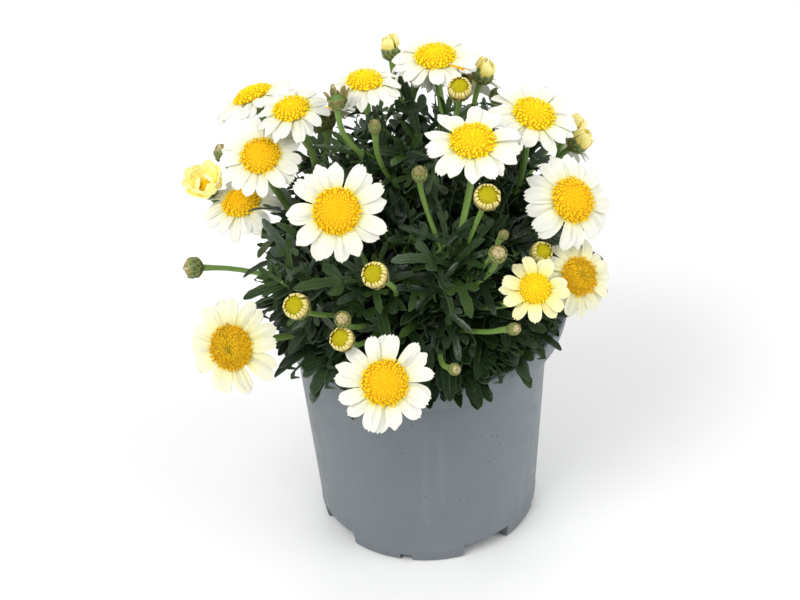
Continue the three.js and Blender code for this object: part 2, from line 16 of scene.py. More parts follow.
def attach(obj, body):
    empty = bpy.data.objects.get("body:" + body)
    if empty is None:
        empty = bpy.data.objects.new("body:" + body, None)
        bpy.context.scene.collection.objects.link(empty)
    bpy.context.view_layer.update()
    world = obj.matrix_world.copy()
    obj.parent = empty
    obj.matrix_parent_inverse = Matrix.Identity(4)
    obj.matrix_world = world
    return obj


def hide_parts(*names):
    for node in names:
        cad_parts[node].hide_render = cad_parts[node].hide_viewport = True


bl_info = {
    "name": "Potted marguerite daisy",
    "version": (1, 0, 0),
    "blender": (4, 5, 0),
    "location": "View3D > Sidebar > Daisy",
    "description": "Builds a flowering marguerite daisy in its nursery pot over the packed part",
    "category": "Add Mesh",
}

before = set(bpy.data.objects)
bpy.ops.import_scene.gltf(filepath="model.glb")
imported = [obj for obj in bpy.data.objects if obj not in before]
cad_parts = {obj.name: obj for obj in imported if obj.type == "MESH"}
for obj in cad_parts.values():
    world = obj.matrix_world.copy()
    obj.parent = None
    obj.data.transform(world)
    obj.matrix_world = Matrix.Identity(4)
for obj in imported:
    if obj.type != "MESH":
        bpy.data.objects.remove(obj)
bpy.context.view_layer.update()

MM = 0.001

# Pot and soil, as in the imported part
POT_HEIGHT = 113
RIM_RADIUS = 65
SHOULDER_RADIUS = 62
FOOT_RADIUS = 54
RIM_BAND = 11.5
MOUTH_RADIUS = 59.7
MOUTH_BULGE = 7
BULGE_SPREAD = 28
BULGE_DEPTH = 27
RECESS_BEARINGS = (-59, 31, 121, 211)
RECESS_WIDTH = 28
RECESS_HEIGHT = 7.6
RECESS_DEPTH = 12
NOTCH_HEIGHT = 3.6
NOTCH_WIDTH = 6.4
HOLE_WIDTH = 7
HOLE_TURN = 8
WALL = 1.6
SOIL_TOP = 99
SOIL_EDGE = 59.2
SOIL_DOME = 3.6

# Shoots and heads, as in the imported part
PLAN_SEED = 7
COLLAR = 106
STEM_FOOT = 84
STEM_RADIUS = 2.2
LEAF_CURL = 0.85
LEAF_SPACING = 9.6
LEAF_SPREAD = 105
GOLDEN_SHARE = 0.618
STALK_RADIUS = 1.4
NECK = 11
CENTRE_REACH = 40
CUP_RADIUS = 6.4
RAY_COUNT = 11
RAY_ARCH = 1.2
DISC_SHARE = 0.46
DISC_FOOT = 0.35

# The finer forms that are drawn here: seeds of their draws, sides of round shapes
CRUMB_SEED = 5
SHOOT_SEED = 100
PETAL_SEED = 200
FLORET_SEED = 300
POT_SIDES = 144
SOIL_SIDES = 96
CUP_SIDES = 14
STALK_SIDES = 10
PETAL_LENGTH = 24
# Rows of a cup's scales: low and high end, out at the foot, out at the tip
CUP_SCALES = ((-7.4, -4.4, 2.4, 5.4), (-6.2, -2.6, 3.8, 6.5), (-4.8, -1.2, 5.2, 6.9))
# Rings of ray florets by kind of bloom: each ring's count and its shares of the full length and bend, then
# how closely the florets fill it. Other blooms have one full ring.
RINGS = {
    "young": (((9, 1, 0.94), (8, 0.92, 1.16), (3, 0.6, 1.7)), 0.98),
    "yellow": (((13, 1, 1),), 0.96),
}

# The rounded mass of the foliage, and what its leaves keep clear of
DOME_UP = 128
DOME_WIDTH = 94
DOME_HEIGHT = 106
SOIL_CLEAR = 58
RIM_INSIDE = 56
RIM_OUTSIDE = 67
LOWEST_LEAF = 88

# Points of a leaf that are this close, as a share of its length, are one.
NEAR = 1e-4

# Turns that spread leaves and florets evenly, in degrees and in radians
LEAF_TURN = 137.5
FLORET_TURN = 2.39996

# Turns of a sine, for the ridges round a stalk and the veins across a petal
EIGHT_TURNS = 50.27
TWELVE_TURNS = 75.4

# The materials of a leafy shoot, in their order on the piece
LEAF, STALK, SCALE, TONGUE, YOUNG_PETAL = range(5)

# Heads: kind, bearing, out, up, bearing that it faces, rise of its face, width
BLOOMS = (
    ("white", 65, 31, 241, -90, 84, 43),
    ("white", 166, 21, 243.5, -95, 88, 37),
    ("white", 149, 88, 214.5, 144, 64, 43),
    ("white", 172, 56, 228.5, -127, 78, 38),
    ("white", -177, 71, 211, -101, 60, 42),
    ("white", 175, 83, 178.5, -135, 70, 42),
    ("young", 170, 101, 182, -110, 60, 30),
    ("white", -121, 68.5, 214.5, -92, 38, 49),
    ("white", -52, 45, 233, -90, 74, 47),
    ("white", -1, 57.5, 224.5, -44, 69, 45),
    ("white", -25.5, 80.5, 198, -54, 41, 48),
    ("cream", -34.5, 90, 166.5, -58, 36, 40),
    ("yellow", -55, 92, 178, -85, 50, 34),
    ("cream", -151.5, 102, 134, -115, 28, 49),
    ("white", -100, 101, 147, -90, 36, 48),
    ("white", 138, 58, 205, 115, 45, 38),
    ("old", 82, 42, 227, 50, 58, 34),
    ("white", 40, 92, 176, 45, 42, 47),
    ("white", 72, 80, 202, 78, 46, 46),
    ("cream", 104, 104, 138, 104, 30, 46),
    ("white", 128, 92, 180, 128, 44, 48),
)
BUDS = (
    ("closed", 160, 98, 192, 150, 70, 9),
    ("closed", 179, 110, 146, -170, 10, 11),
    ("open", -127, 94, 175, -115, 46, 12),
    ("open", -103.5, 85, 195.5, -120, 47, 12),
    ("closed", -112, 94, 175, -95, 45, 8),
    ("open", -112, 97, 166, -118, 46, 11),
    ("open", -14, 24, 244.5, -90, 60, 11),
    ("open", -60, 66, 217.5, -80, 50, 12),
    ("closed", -87, 54, 230, -90, 60, 7.5),
    ("closed", -64, 83, 198, -80, 50, 9),
    ("closed", -60, 79, 204, -70, 50, 5),
    ("open", -42, 77.5, 182, -60, 45, 10),
    ("closed", -64, 97.5, 165, -50, 30, 6),
    ("closed", -81.5, 99, 151.5, -70, 30, 6),
    ("closed", -157, 36, 247, -90, 85, 9),
    ("closed", -121, 32, 240, -90, 80, 6),
    ("half", 98, 56, 231.5, 100, 75, 10),
    ("half", 44, 50, 228, 10, 70, 11),
    ("half", 6, 80, 203, -5, 40, 11),
    ("half", 18, 82, 200, 20, 50, 10),
    ("closed", 60, 89, 190, 60, 40, 9),
)
# Buds with green tongues and one that is over, then blooms with clear yellow and with olive discs
GREEN_BUDS = (9, 11, 16, 21)
SPENT_BUD = 15
FRESH_DISCS = (1, 2, 3, 4, 7, 9, 10, 13)
FADING_DISCS = (12, 14)
# Shoots: bearing, first and last bearing of the heads that it carries, out at the soil, out and up of its top
SHOOTS = (
    (0, 0, 0, 0, 4, 208),
    (142, 130, 162, 26, 52, 178),
    (180, 162, -166, 28, 56, 172),
    (-148, -166, -135, 28, 58, 162),
    (-112, -135, -96, 26, 54, 168),
    (-72, -96, -50, 28, 52, 174),
    (-32, -50, -13, 26, 54, 170),
    (12, -13, 44, 28, 50, 178),
    (78, 44, 130, 26, 54, 172),
)

# The stage and the camera, in metres
FLOOR_WIDTH = 9
FLOOR_DROP = 0.0003
LAMP_AIM = (0, 0, 0.12)
CAMERA_PLACE = (0.0, -1.0909, 0.8970)
CAMERA_AIM = (-0.0098, 0.0300, 0.1007)
CAMERA_ROLL = -3.15
CAMERA_LENS = 123.2
CAMERA_FILM = 36


# Plan of the plant


def polar(bearing, out, up):
    """A point from its bearing in degrees, its distance from the pot's axis and its height."""
    turn = math.radians(bearing)
    return np.array((out * math.cos(turn), out * math.sin(turn), up))


def heading(bearing, rise):
    """A unit direction from its bearing and its rise above the horizon, in degrees."""
    tilt = math.radians(rise)
    return polar(bearing, math.cos(tilt), math.sin(tilt))


def unit(vector):
    """The vector at a length of one."""
    return vector / np.linalg.norm(vector)


def mix(first, second, share):
    """The value at a share of the way from the first to the second."""
    return first + (second - first) * share


def quadratic(a, b, c, t):
    """A point on a curve with one control point."""
    return (1 - t) ** 2 * a + 2 * t * (1 - t) * b + t * t * c


def quadratic_slope(a, b, c, t):
    """Half the slope of that curve."""
    return (1 - t) * (b - a) + t * (c - b)


def cubic(a, b, c, d, t):
    """A point on a curve with two control points."""
    return (1 - t) ** 3 * a + 3 * t * (1 - t) ** 2 * b + 3 * t * t * (1 - t) * c + t**3 * d


def smoothstep(value, low, high):
    """A soft step from 0 at low to 1 at high."""
    share = np.clip((value - low) / (high - low), 0, 1)
    return share * share * (3 - 2 * share)


class Draws:
    """The seeded draws that the part's source makes, in the same order."""

    FACTOR = 1664525
    STEP = 1013904223
    RANGE = 2**32

    def __init__(self, state):
        self.state = state

    def between(self, low, high):
        """A draw between two values."""
        self.state = (self.state * self.FACTOR + self.STEP) % self.RANGE
        return low + (high - low) * self.state / self.RANGE

    def skip(self, count):
        """Makes draws for forms of the part's source that are drawn anew here."""
        for _ in range(count):
            self.between(0, 1)


class Head:
    """A bloom or a bud: where it is, which way it faces and how large it is."""

    def __init__(self, row, number):
        kind, bearing, out, up, face_bearing, face_rise, width = row
        self.kind = kind
        self.number = number
        self.bearing = bearing
        self.out = out
        self.centre = polar(bearing, out, up)
        self.face = heading(face_bearing, face_rise)
        self.radius = width / 2
        turn = Vector((0, 0, 1)).rotation_difference(Vector(self.face))
        self.turn = np.array(turn.to_matrix())

    def placed(self, points):
        """Points of the head's own frame, where +Z is its face, set in their place on the plant."""
        return points @ self.turn.T + self.centre


class Shoot:
    """A leafy stem: a quadratic curve from its collar at the soil to its top."""

    def __init__(self, row, number):
        self.number = number
        self.bearing, self.first, self.last, foot_out, top_out, top_up = row
        bow = polar(self.bearing, mix(foot_out, top_out, 0.2), COLLAR + 29)
        self.control = (polar(self.bearing, foot_out, COLLAR), bow, polar(self.bearing, top_out, top_up))
        self.foot = polar(self.bearing, foot_out, STEM_FOOT)
        steps = np.linspace(0, 1, 201)
        points = np.array([self.at(t) for t in steps])
        lengths = np.linalg.norm(np.diff(points, axis=0), axis=1)
        self.lengths = np.concatenate(([0], np.cumsum(lengths)))
        self.steps = steps
        self.length = self.lengths[-1]

    def at(self, t):
        """The point at a curve parameter."""
        return quadratic(*self.control, t)

    def parameter(self, share):
        """The curve parameter at a share of the stem's length."""
        return np.interp(share * self.length, self.lengths, self.steps)

    def point(self, share):
        """The point at a share of the stem's length."""
        return self.at(self.parameter(share))

    def tangent(self, share):
        """The stem's direction at a share of its length."""
        return unit(quadratic_slope(*self.control, self.parameter(share)))


def plan_blooms(draws):
    """The blooms with the sizes of their discs and the bend of their rays."""
    blooms = []
    for number, row in enumerate(BLOOMS, 1):
        bloom = Head(row, number)
        young = bloom.kind == "young"
        bloom.disc = 3.6 if young else bloom.radius * DISC_SHARE
        bloom.hub = bloom.disc + (1 if young else 0.6)
        bloom.height = 4 if young else bloom.disc * 0.5
        fixed = {"young": -57, "old": 50}
        bloom.bend = math.radians(fixed[bloom.kind] if bloom.kind in fixed else draws.between(6, 22))
        blooms.append(bloom)
    for bloom in blooms:
        bloom.spin = draws.between(0, 360)
        draws.skip(3 * RAY_COUNT)
    return blooms


def carrier_of(head, shoots):
    """The shoot that carries a head."""
    if head.out < CENTRE_REACH:
        return shoots[0]
    for shoot in shoots[1:]:
        if (head.bearing - shoot.first + 720) % 360 <= (shoot.last - shoot.first + 360) % 360:
            return shoot
    raise RuntimeError("no shoot carries that head")


# Shaping with Blender's operators


def start_shape():
    """Leaves object mode clean, with nothing selected."""
    if bpy.context.object and bpy.context.object.mode != "OBJECT":
        bpy.ops.object.mode_set(mode="OBJECT")
    bpy.ops.object.select_all(action="DESELECT")


def pick_edges(test):
    """In edit mode, selects just the edges whose ends pass a test of their places."""
    bpy.ops.mesh.select_mode(type="EDGE")
    bpy.ops.mesh.select_all(action="DESELECT")
    data = bpy.context.edit_object.data
    shape = bmesh.from_edit_mesh(data)
    for edge in shape.edges:
        edge.select_set(all(test(end.co) for end in edge.verts))
    shape.select_flush_mode()
    bmesh.update_edit_mesh(data)


def extrude(move):
    """Extrudes what is selected and moves it."""
    bpy.ops.mesh.extrude_region_move(TRANSFORM_OT_translate={"value": move})


def resize(factors, centre):
    """Resizes what is selected about a point."""
    bpy.ops.transform.resize(value=factors, center_override=centre)


def rotate(angle, axis, centre):
    """Turns what is selected about an axis through a point, by degrees."""
    bpy.ops.transform.rotate(value=math.radians(angle), orient_axis=axis, center_override=centre)


def apply_modifier(obj, kind, **settings):
    """Adds a modifier to an object and applies it."""
    bpy.context.view_layer.objects.active = obj
    modifier = obj.modifiers.new(kind.title(), kind)
    for name, value in settings.items():
        setattr(modifier, name, value)
    bpy.ops.object.modifier_apply(modifier=modifier.name)


def stack(profile, step=MM):
    """Closes a round body by extruding its top face through radii and heights, as on a lathe."""
    radius, height = profile[0]
    for out, up in profile[1:]:
        extrude((0, 0, (up - height) * step))
        share = out / radius
        resize((share, share, 1), (0, 0, up * step))
        radius, height = out, up


def start_disc(corners, radius, height=0.0):
    """Adds a filled circle about the Z axis, and goes into edit mode with its face selected."""
    start_shape()
    place = (0, 0, height)
    bpy.ops.mesh.primitive_circle_add(vertices=corners, radius=radius, fill_type="NGON", location=place)
    bpy.ops.object.transform_apply(location=True, rotation=False, scale=False)
    bpy.ops.object.mode_set(mode="EDIT")
    return bpy.context.object


def face_outwards():
    """In edit mode, turns all faces outwards, and goes back to object mode."""
    bpy.ops.mesh.select_all(action="SELECT")
    bpy.ops.mesh.normals_make_consistent(inside=False)
    bpy.ops.object.mode_set(mode="OBJECT")


def write_marks(obj, mark):
    """Writes two surface coordinates for each vertex, which a function gives from its index and its place."""
    data = obj.data
    layer = (data.uv_layers.active or data.uv_layers.new(name="surface")).data
    for loop in data.loops:
        layer[loop.index].uv = mark(loop.vertex_index, data.vertices[loop.vertex_index].co)


class Pattern:
    """A shape that is modelled once: its vertices, faces and a surface coordinate for each vertex."""

    def __init__(self, obj):
        data = obj.data
        self.verts = np.array([vertex.co for vertex in data.vertices])
        self.faces = [tuple(face.vertices) for face in data.polygons]
        self.marks = np.zeros((len(self.verts), 2))
        if data.uv_layers.active:
            layer = data.uv_layers.active.data
            for loop in data.loops:
                self.marks[loop.vertex_index] = layer[loop.index].uv
        bpy.data.objects.remove(obj)
        bpy.data.meshes.remove(data)


class Growth:
    """Gathers copies of patterns and swept shapes into one piece."""

    def __init__(self):
        self.verts = []
        self.faces = []
        self.marks = []
        self.tones = []
        self.finishes = []
        self.count = 0

    def add(self, verts, faces, marks, tone, finish):
        """Adds a shape with its surface coordinates, its tone from 0 to 1 and its material's number."""
        self.verts.append(verts)
        self.faces.extend(tuple(i + self.count for i in face) for face in faces)
        self.marks.append(marks)
        self.tones.append(np.full(len(verts), tone))
        self.finishes.extend([finish] * len(faces))
        self.count += len(verts)

    def piece(self, name, materials, nodes, smooth=50):
        """The finished piece, in metres, which stands for its CAD nodes."""
        data = bpy.data.meshes.new(name)
        data.from_pydata(np.concatenate(self.verts) * MM, [], self.faces)
        marks = np.concatenate(self.marks)
        corners = np.empty(len(data.loops), dtype=np.int64)
        data.loops.foreach_get("vertex_index", corners)
        data.uv_layers.new(name="surface").data.foreach_set("uv", marks[corners].ravel())
        tones = data.attributes.new("tone", "FLOAT", "POINT")
        tones.data.foreach_set("value", np.concatenate(self.tones))
        for material in materials:
            data.materials.append(material)
        data.polygons.foreach_set("material_index", np.array(self.finishes, dtype=np.int32))
        obj = bpy.data.objects.new(name, data)
        bpy.context.scene.collection.objects.link(obj)
        settle(obj, nodes, smooth)


def settle(obj, nodes, smooth):
    """Smooths a finished piece, and sets it on the part's body in place of its CAD nodes."""
    start_shape()
    obj.select_set(True)
    bpy.context.view_layer.objects.active = obj
    bpy.ops.object.shade_smooth_by_angle(angle=math.radians(smooth))
    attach(obj, "root")
    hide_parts(*nodes)
    obj.select_set(False)


def tube_faces(rings, sides):
    """The faces of a tube of rings of vertices, and of its two ends."""
    faces = []
    for low in range(0, (rings - 1) * sides, sides):
        high = low + sides
        for k in range(sides):
            after = (k + 1) % sides
            faces.append((low + k, low + after, high + after, high + k))
    last = (rings - 1) * sides
    faces.append(tuple(range(sides))[::-1])
    faces.append(tuple(last + k for k in range(sides)))
    return faces


def sweep(points, radii, sides):
    """A round tube through points with a radius at each; the ends are closed."""
    points = np.array(points)
    ends = np.clip(np.arange(len(points)), 1, len(points) - 2)
    tangents = points[ends + 1] - points[ends - 1]
    tangents[0] = points[1] - points[0]
    tangents[-1] = points[-1] - points[-2]
    # Any direction does here that no stem or stalk starts in.
    across = unit(np.cross((0.31, 0.52, 0.1), tangents[0]))
    turns = np.linspace(0, 2 * math.pi, sides, endpoint=False)
    verts, marks = [], []
    run = 0
    for i, (point, radius) in enumerate(zip(points, radii)):
        tangent = unit(tangents[i])
        across = unit(across - tangent * (across @ tangent))
        beside = np.cross(tangent, across)
        ring = np.outer(np.cos(turns), across) + np.outer(np.sin(turns), beside)
        verts.append(point + ring * radius)
        run += np.linalg.norm(point - points[i - 1]) if i else 0
        marks.append(np.stack((turns / (2 * math.pi), np.full(sides, run / 100)), 1))
    return np.concatenate(verts), tube_faces(len(points), sides), np.concatenate(marks)


# Patterns that are modelled once and copied


def strap_pattern(columns, rows, width_at, tip, notch, groove, thickness):
    """A flat strap, one long and up to one wide, with a rounded, slightly notched tip and two grooves.

    Its rows lie closer together towards the tip.
    """
    start_shape()
    bpy.ops.mesh.primitive_grid_add(x_subdivisions=columns, y_subdivisions=rows, size=1)
    obj = bpy.context.object
    for vertex in obj.data.vertices:
        side = vertex.co.x * 2
        share = 1 - (0.5 - min(vertex.co.y, 0.5)) ** 1.35
        bite = notch * (1 - math.cos(side * 2 * math.pi)) * smoothstep(share, 0.8, 1)
        vertex.co.x = side * width_at(share) / 2
        vertex.co.y = share * (1 - tip * abs(side) ** 2.4 * share - bite)
        vertex.co.z = -groove * (1 - math.cos(side * 2 * math.pi)) / 2 * math.sin(math.pi * share)
    apply_modifier(obj, "SOLIDIFY", thickness=thickness, offset=0)
    return Pattern(obj)


def petal_width(share):
    """The outline of a ray floret: narrower at its base, widest beyond the middle, and round at its tip."""
    tip = (max(share - 0.7, 0) / 0.33) ** 2
    return mix(0.68, 1, smoothstep(share, 0, 0.5)) * math.sqrt(1 - tip)


def tongue_width(share):
    """The outline of a folded ray floret of a bud."""
    return mix(0.85, 1, smoothstep(share, 0, 0.3)) * mix(1, 0.72, smoothstep(share, 0.55, 1))


def scale_width(share):
    """The outline of a scale of the green cup."""
    return 1 - 0.75 * share**2


def leaf_pattern(rows, lobes, thickness):
    """A deeply cut leaf, one long. Rows are shares of the length with half-widths, from root to tip.

    Lobes grow from the edge between two rows: first and last row, then the steps of the lobe as its move
    aside and along, its turn and its size.
    """
    start_shape()
    bpy.ops.mesh.primitive_grid_add(x_subdivisions=1, y_subdivisions=len(rows) - 1, size=1)
    obj = bpy.context.object
    for vertex in obj.data.vertices:
        share, half = rows[round((vertex.co.y + 0.5) * (len(rows) - 1))]
        vertex.co = (half if vertex.co.x > 0 else 0, share, 0)
    bpy.ops.object.mode_set(mode="EDIT")
    for first, last, steps in lobes:
        low = rows[first][0] - NEAR
        high = rows[last][0] + NEAR
        pick_edges(lambda place: place.x > NEAR and low < place.y < high)
        centre = Vector((max(rows[first][1], rows[last][1]), (low + high) / 2, 0))
        for aside, along, turn, size in steps:
            extrude((aside, along, 0))
            centre = centre + Vector((aside, along, 0))
            rotate(turn, "Z", centre)
            resize((size, size, 1), centre)
    bpy.ops.object.mode_set(mode="OBJECT")
    apply_modifier(obj, "MIRROR", use_axis=(True, False, False), merge_threshold=NEAR)
    mark_margin(obj)
    apply_modifier(obj, "SOLIDIFY", thickness=thickness, offset=-1)
    return Pattern(obj)


def mark_margin(obj):
    """Marks each vertex of a flat leaf with 0 inside it or 1 at its edge, and its share of the length."""
    shape = bmesh.new()
    shape.from_mesh(obj.data)
    margin = {vertex.index: float(vertex.is_boundary) for vertex in shape.verts}
    shape.free()
    write_marks(obj, lambda index, place: (margin[index], place.y))


# A lobe's steps, then the rows and lobes of the three leaves
LOBE_STEPS = (
    (0.035, 0.02, -24, 0.92), (0.035, 0.032, -16, 1.18), (0.035, 0.04, -12, 0.82),
    (0.03, 0.045, -8, 1.14), (0.024, 0.042, 0, 0.76), (0.012, 0.028, 0, 0.3),
)
SIDE_STEPS = (
    (0.04, 0.028, -26, 0.92), (0.036, 0.042, -18, 1.14), (0.026, 0.046, -6, 0.78), (0.012, 0.028, 0, 0.3),
)
LARGE_ROWS = (
    (0, 0.032), (0.12, 0.029), (0.24, 0.035), (0.345, 0.046), (0.405, 0.052), (0.455, 0.055), (0.53, 0.046),
    (0.6, 0.05), (0.655, 0.058), (0.705, 0.058), (0.77, 0.048), (0.83, 0.062), (0.88, 0.051), (0.935, 0.052),
    (0.98, 0.028), (1, 0.008),
)
LARGE_LOBES = ((3, 5, LOBE_STEPS), (7, 9, SIDE_STEPS))
SMALL_ROWS = (
    (0, 0.042), (0.15, 0.038), (0.3, 0.045), (0.43, 0.056), (0.49, 0.063), (0.55, 0.064), (0.66, 0.053),
    (0.75, 0.068), (0.82, 0.057), (0.9, 0.058), (0.97, 0.03), (1, 0.008),
)
SMALL_LOBES = ((3, 5, SIDE_STEPS),)
NARROW_ROWS = (
    (0, 0.042), (0.2, 0.044), (0.42, 0.06), (0.58, 0.08), (0.67, 0.068), (0.8, 0.078), (0.93, 0.045),
    (1, 0.01),
)


# An open floret flares round its throat, and one in bud is a blunt knob: radius and height of each step.
OPEN_FLORET = ((0.42, 0), (0.52, 1.4), (1.12, 2.2), (0.6, 2.05), (0.3, 1.4))
CLOSED_FLORET = ((0.7, 0), (1, 0.7), (0.85, 1.15), (0.4, 1.4))


def floret_pattern(steps):
    """A tiny five-sided disc floret, marked with each vertex's distance from its axis and height."""
    obj = start_disc(5, steps[0][0])
    stack(steps, 1)
    face_outwards()
    write_marks(obj, lambda index, place: (math.hypot(place.x, place.y), place.z))
    return Pattern(obj)


# Materials


class Finish:
    """A material in the making, with short ways to add nodes and join them."""

    def __init__(self, name, **sockets):
        self.material = bpy.data.materials.new(name)
        self.material.use_nodes = True
        self.tree = self.material.node_tree
        self.shader = self.tree.nodes["Principled BSDF"]
        for label, value in sockets.items():
            self.shader.inputs[label.replace("_", " ")].default_value = value
        self.column = 0

    def add(self, kind, **settings):
        """Adds a node with its settings."""
        node = self.tree.nodes.new(kind)
        self.column -= 180
        node.location = (self.column, (self.column % 540) - 200)
        for label, value in settings.items():
            setattr(node, label, value)
        return node

    def feed(self, node, label, value):
        """Sets a node's input, or joins another node's output to it."""
        if isinstance(value, bpy.types.NodeSocket):
            self.tree.links.new(value, node.inputs[label])
        else:
            node.inputs[label].default_value = value

    def noise(self, scale, detail, stretch=(1, 1, 1)):
        """A noise in the object's own coordinates."""
        coords = self.add("ShaderNodeTexCoord")
        mapping = self.add("ShaderNodeMapping")
        self.feed(mapping, "Vector", coords.outputs["Object"])
        self.feed(mapping, "Scale", stretch)
        node = self.add("ShaderNodeTexNoise")
        self.feed(node, "Vector", mapping.outputs["Vector"])
        self.feed(node, "Scale", scale)
        self.feed(node, "Detail", detail)
        self.feed(node, "Roughness", 0.6)
        return node.outputs["Fac"]

    def surface(self):
        """The two surface coordinates of the piece."""
        coords = self.add("ShaderNodeUVMap", uv_map="surface")
        parts = self.add("ShaderNodeSeparateXYZ")
        self.feed(parts, "Vector", coords.outputs["UV"])
        return parts.outputs["X"], parts.outputs["Y"]

    def tone(self):
        """The tone that each leaf, petal or floret was given."""
        return self.add("ShaderNodeAttribute", attribute_name="tone").outputs["Fac"]

    def math(self, operation, first, second=0.0):
        """A value worked out from one or two others."""
        node = self.add("ShaderNodeMath", operation=operation)
        self.feed(node, 0, first)
        self.feed(node, 1, second)
        return node.outputs["Value"]

    def ramp(self, value, *stops):
        """A colour from a value, through stops of place and colour."""
        node = self.add("ShaderNodeValToRGB")
        self.feed(node, "Fac", value)
        elements = node.color_ramp.elements
        while len(elements) < len(stops):
            elements.new(0.5)
        for element, (place, colour) in zip(elements, stops):
            element.position = place
            element.color = (*colour, 1)
        return node.outputs["Color"]

    def mask(self, value, low, high, start=0.0, end=1.0):
        """A strength that goes from a start to an end between two places of a value."""
        return self.ramp(value, (low, (start,) * 3), (high, (end,) * 3))

    def range(self, value, low, high, to_low, to_high):
        """A value moved from one range to another."""
        node = self.add("ShaderNodeMapRange")
        labels = ("From Min", "From Max", "To Min", "To Max")
        for label, number in zip(labels, (low, high, to_low, to_high)):
            self.feed(node, label, number)
        self.feed(node, "Value", value)
        return node.outputs["Result"]

    def blend(self, share, first, second):
        """A mix of two colours."""
        node = self.add("ShaderNodeMix", data_type="RGBA")
        # Inputs 0, 6 and 7 are the share and the two colours.
        for index, value in ((0, share), (6, first), (7, second)):
            self.feed(node, index, (*value, 1) if isinstance(value, tuple) else value)
        return node.outputs[2]

    def bump(self, height, strength, distance):
        """Raises the surface by a height in metres."""
        node = self.add("ShaderNodeBump")
        self.feed(node, "Height", height)
        self.feed(node, "Strength", strength)
        self.feed(node, "Distance", distance)
        self.feed(self.shader, "Normal", node.outputs["Normal"])

    def colour(self, value):
        """Gives the shader its colour."""
        self.feed(self.shader, "Base Color", value)

    def roughness(self, value):
        """Gives the shader its roughness."""
        self.feed(self.shader, "Roughness", value)


def pot_finish():
    """Satin grey recycled plastic with faint flow marks, scuffs and specks of soil."""
    made = Finish("grey_pot_plastic", Specular_IOR_Level=0.5)
    base = made.ramp(made.noise(9, 4), (0.3, (0.130, 0.153, 0.168)), (0.7, (0.160, 0.183, 0.202)))
    streaks = made.mask(made.noise(60, 2, stretch=(1, 1, 0.08)), 0.62, 0.8, end=0.25)
    worn = made.blend(streaks, base, (0.27, 0.29, 0.30))
    specks = made.mask(made.noise(620, 1), 0.74, 0.78)
    made.colour(made.blend(specks, worn, (0.035, 0.028, 0.022)))
    made.roughness(made.range(made.noise(140, 3), 0.3, 0.7, 0.34, 0.5))
    made.bump(made.noise(900, 2), 0.12, 0.0002)
    return made.material


def inner_wall_finish():
    """The inside of the pot, stained by soil."""
    made = Finish("soiled_pot_plastic", Roughness=0.65)
    stain = made.range(made.noise(70, 4), 0.35, 0.65, 0, 1)
    made.colour(made.blend(stain, (0.030, 0.029, 0.028), (0.095, 0.105, 0.110)))
    made.bump(made.noise(600, 3), 0.3, 0.0004)
    return made.material


def soil_finish():
    """Dark crumbly potting soil with a few paler fibres."""
    made = Finish("potting_soil", Roughness=0.95)
    base = made.ramp(made.noise(260, 5), (0.3, (0.006, 0.005, 0.004)), (0.7, (0.034, 0.026, 0.020)))
    fibres = made.mask(made.noise(520, 2, stretch=(1, 0.15, 1)), 0.66, 0.72)
    made.colour(made.blend(fibres, base, (0.075, 0.055, 0.038)))
    made.bump(made.noise(420, 4), 0.7, 0.0012)
    return made.material


def leaf_finish():
    """Dark green leaves, some of them bluish, partly for a wax bloom and partly as painted sheen, with paler
    veins, edges that are paler partly as a painted highlight, and a few pale flecks.
    """
    made = Finish("leaf_green")
    margin = made.surface()[0]
    tone = made.tone()
    wax_and_sheen = made.math("FRACT", made.math("MULTIPLY", tone, 7.31))
    plain = made.blend(tone, (0.0034, 0.0105, 0.0030), (0.047, 0.095, 0.013))
    # Painted sheen: a bluish colour on some leaves, partly their wax bloom and partly the sheen that light
    # gives them.
    bluish = made.blend(made.range(wax_and_sheen, 0.55, 1, 0, 0.8), plain, (0.021, 0.042, 0.025))
    cloudy = made.blend(made.range(made.noise(160, 4), 0.35, 0.7, 0, 0.4), bluish, (0.014, 0.030, 0.011))
    rib = made.mask(margin, 0.0, 0.16, start=1.0, end=0.0)
    # Paler edges: partly a pale margin and partly a painted highlight along the rims.
    edge = made.mask(margin, 0.78, 1.0, end=0.6)
    veined = made.blend(made.math("MULTIPLY", rib, 0.45), cloudy, (0.05, 0.10, 0.03))
    pale_and_lit_edges = made.blend(edge, veined, (0.046, 0.085, 0.034))
    flecks = made.mask(made.noise(1100, 1), 0.70, 0.74, end=0.8)
    made.colour(made.blend(flecks, pale_and_lit_edges, (0.11, 0.16, 0.10)))
    made.feed(made.shader, "Specular IOR Level", made.range(wax_and_sheen, 0, 1, 0.18, 0.6))
    made.roughness(made.range(made.noise(300, 2), 0.3, 0.7, 0.26, 0.48))
    made.bump(made.math("ADD", made.noise(520, 3), made.math("MULTIPLY", rib, -0.8)), 0.5, 0.0006)
    return made.material


def stalk_finish():
    """Fresh green stalks, finely ridged along their length."""
    made = Finish("stalk_green", Roughness=0.5, Specular_IOR_Level=0.4)
    around = made.surface()[0]
    base = made.blend(made.tone(), (0.080, 0.170, 0.026), (0.220, 0.370, 0.070))
    mottled = made.blend(made.range(made.noise(200, 3), 0.35, 0.7, 0, 0.5), base, (0.24, 0.36, 0.10))
    ridges = made.math("SINE", made.math("MULTIPLY", around, EIGHT_TURNS))
    made.colour(made.blend(made.range(ridges, -1, 1, 0, 0.25), mottled, (0.03, 0.075, 0.02)))
    made.bump(ridges, 0.35, 0.0003)
    return made.material


def scale_finish():
    """Green scales of the cups and buds, with pale papery edges and brownish pink tips."""
    made = Finish("cup_scale_green", Roughness=0.55)
    across, along = made.surface()
    stops = ((0.0, (0.060, 0.110, 0.022)), (0.6, (0.17, 0.24, 0.045)), (1.0, (0.38, 0.30, 0.11)))
    body = made.ramp(along, *stops)
    aside = made.math("ABSOLUTE", made.math("SUBTRACT", across, 0.5))
    edge = made.mask(aside, 0.3, 0.48, end=0.7)
    made.colour(made.blend(edge, body, (0.42, 0.38, 0.17)))
    made.bump(made.noise(900, 2), 0.3, 0.0003)
    return made.material


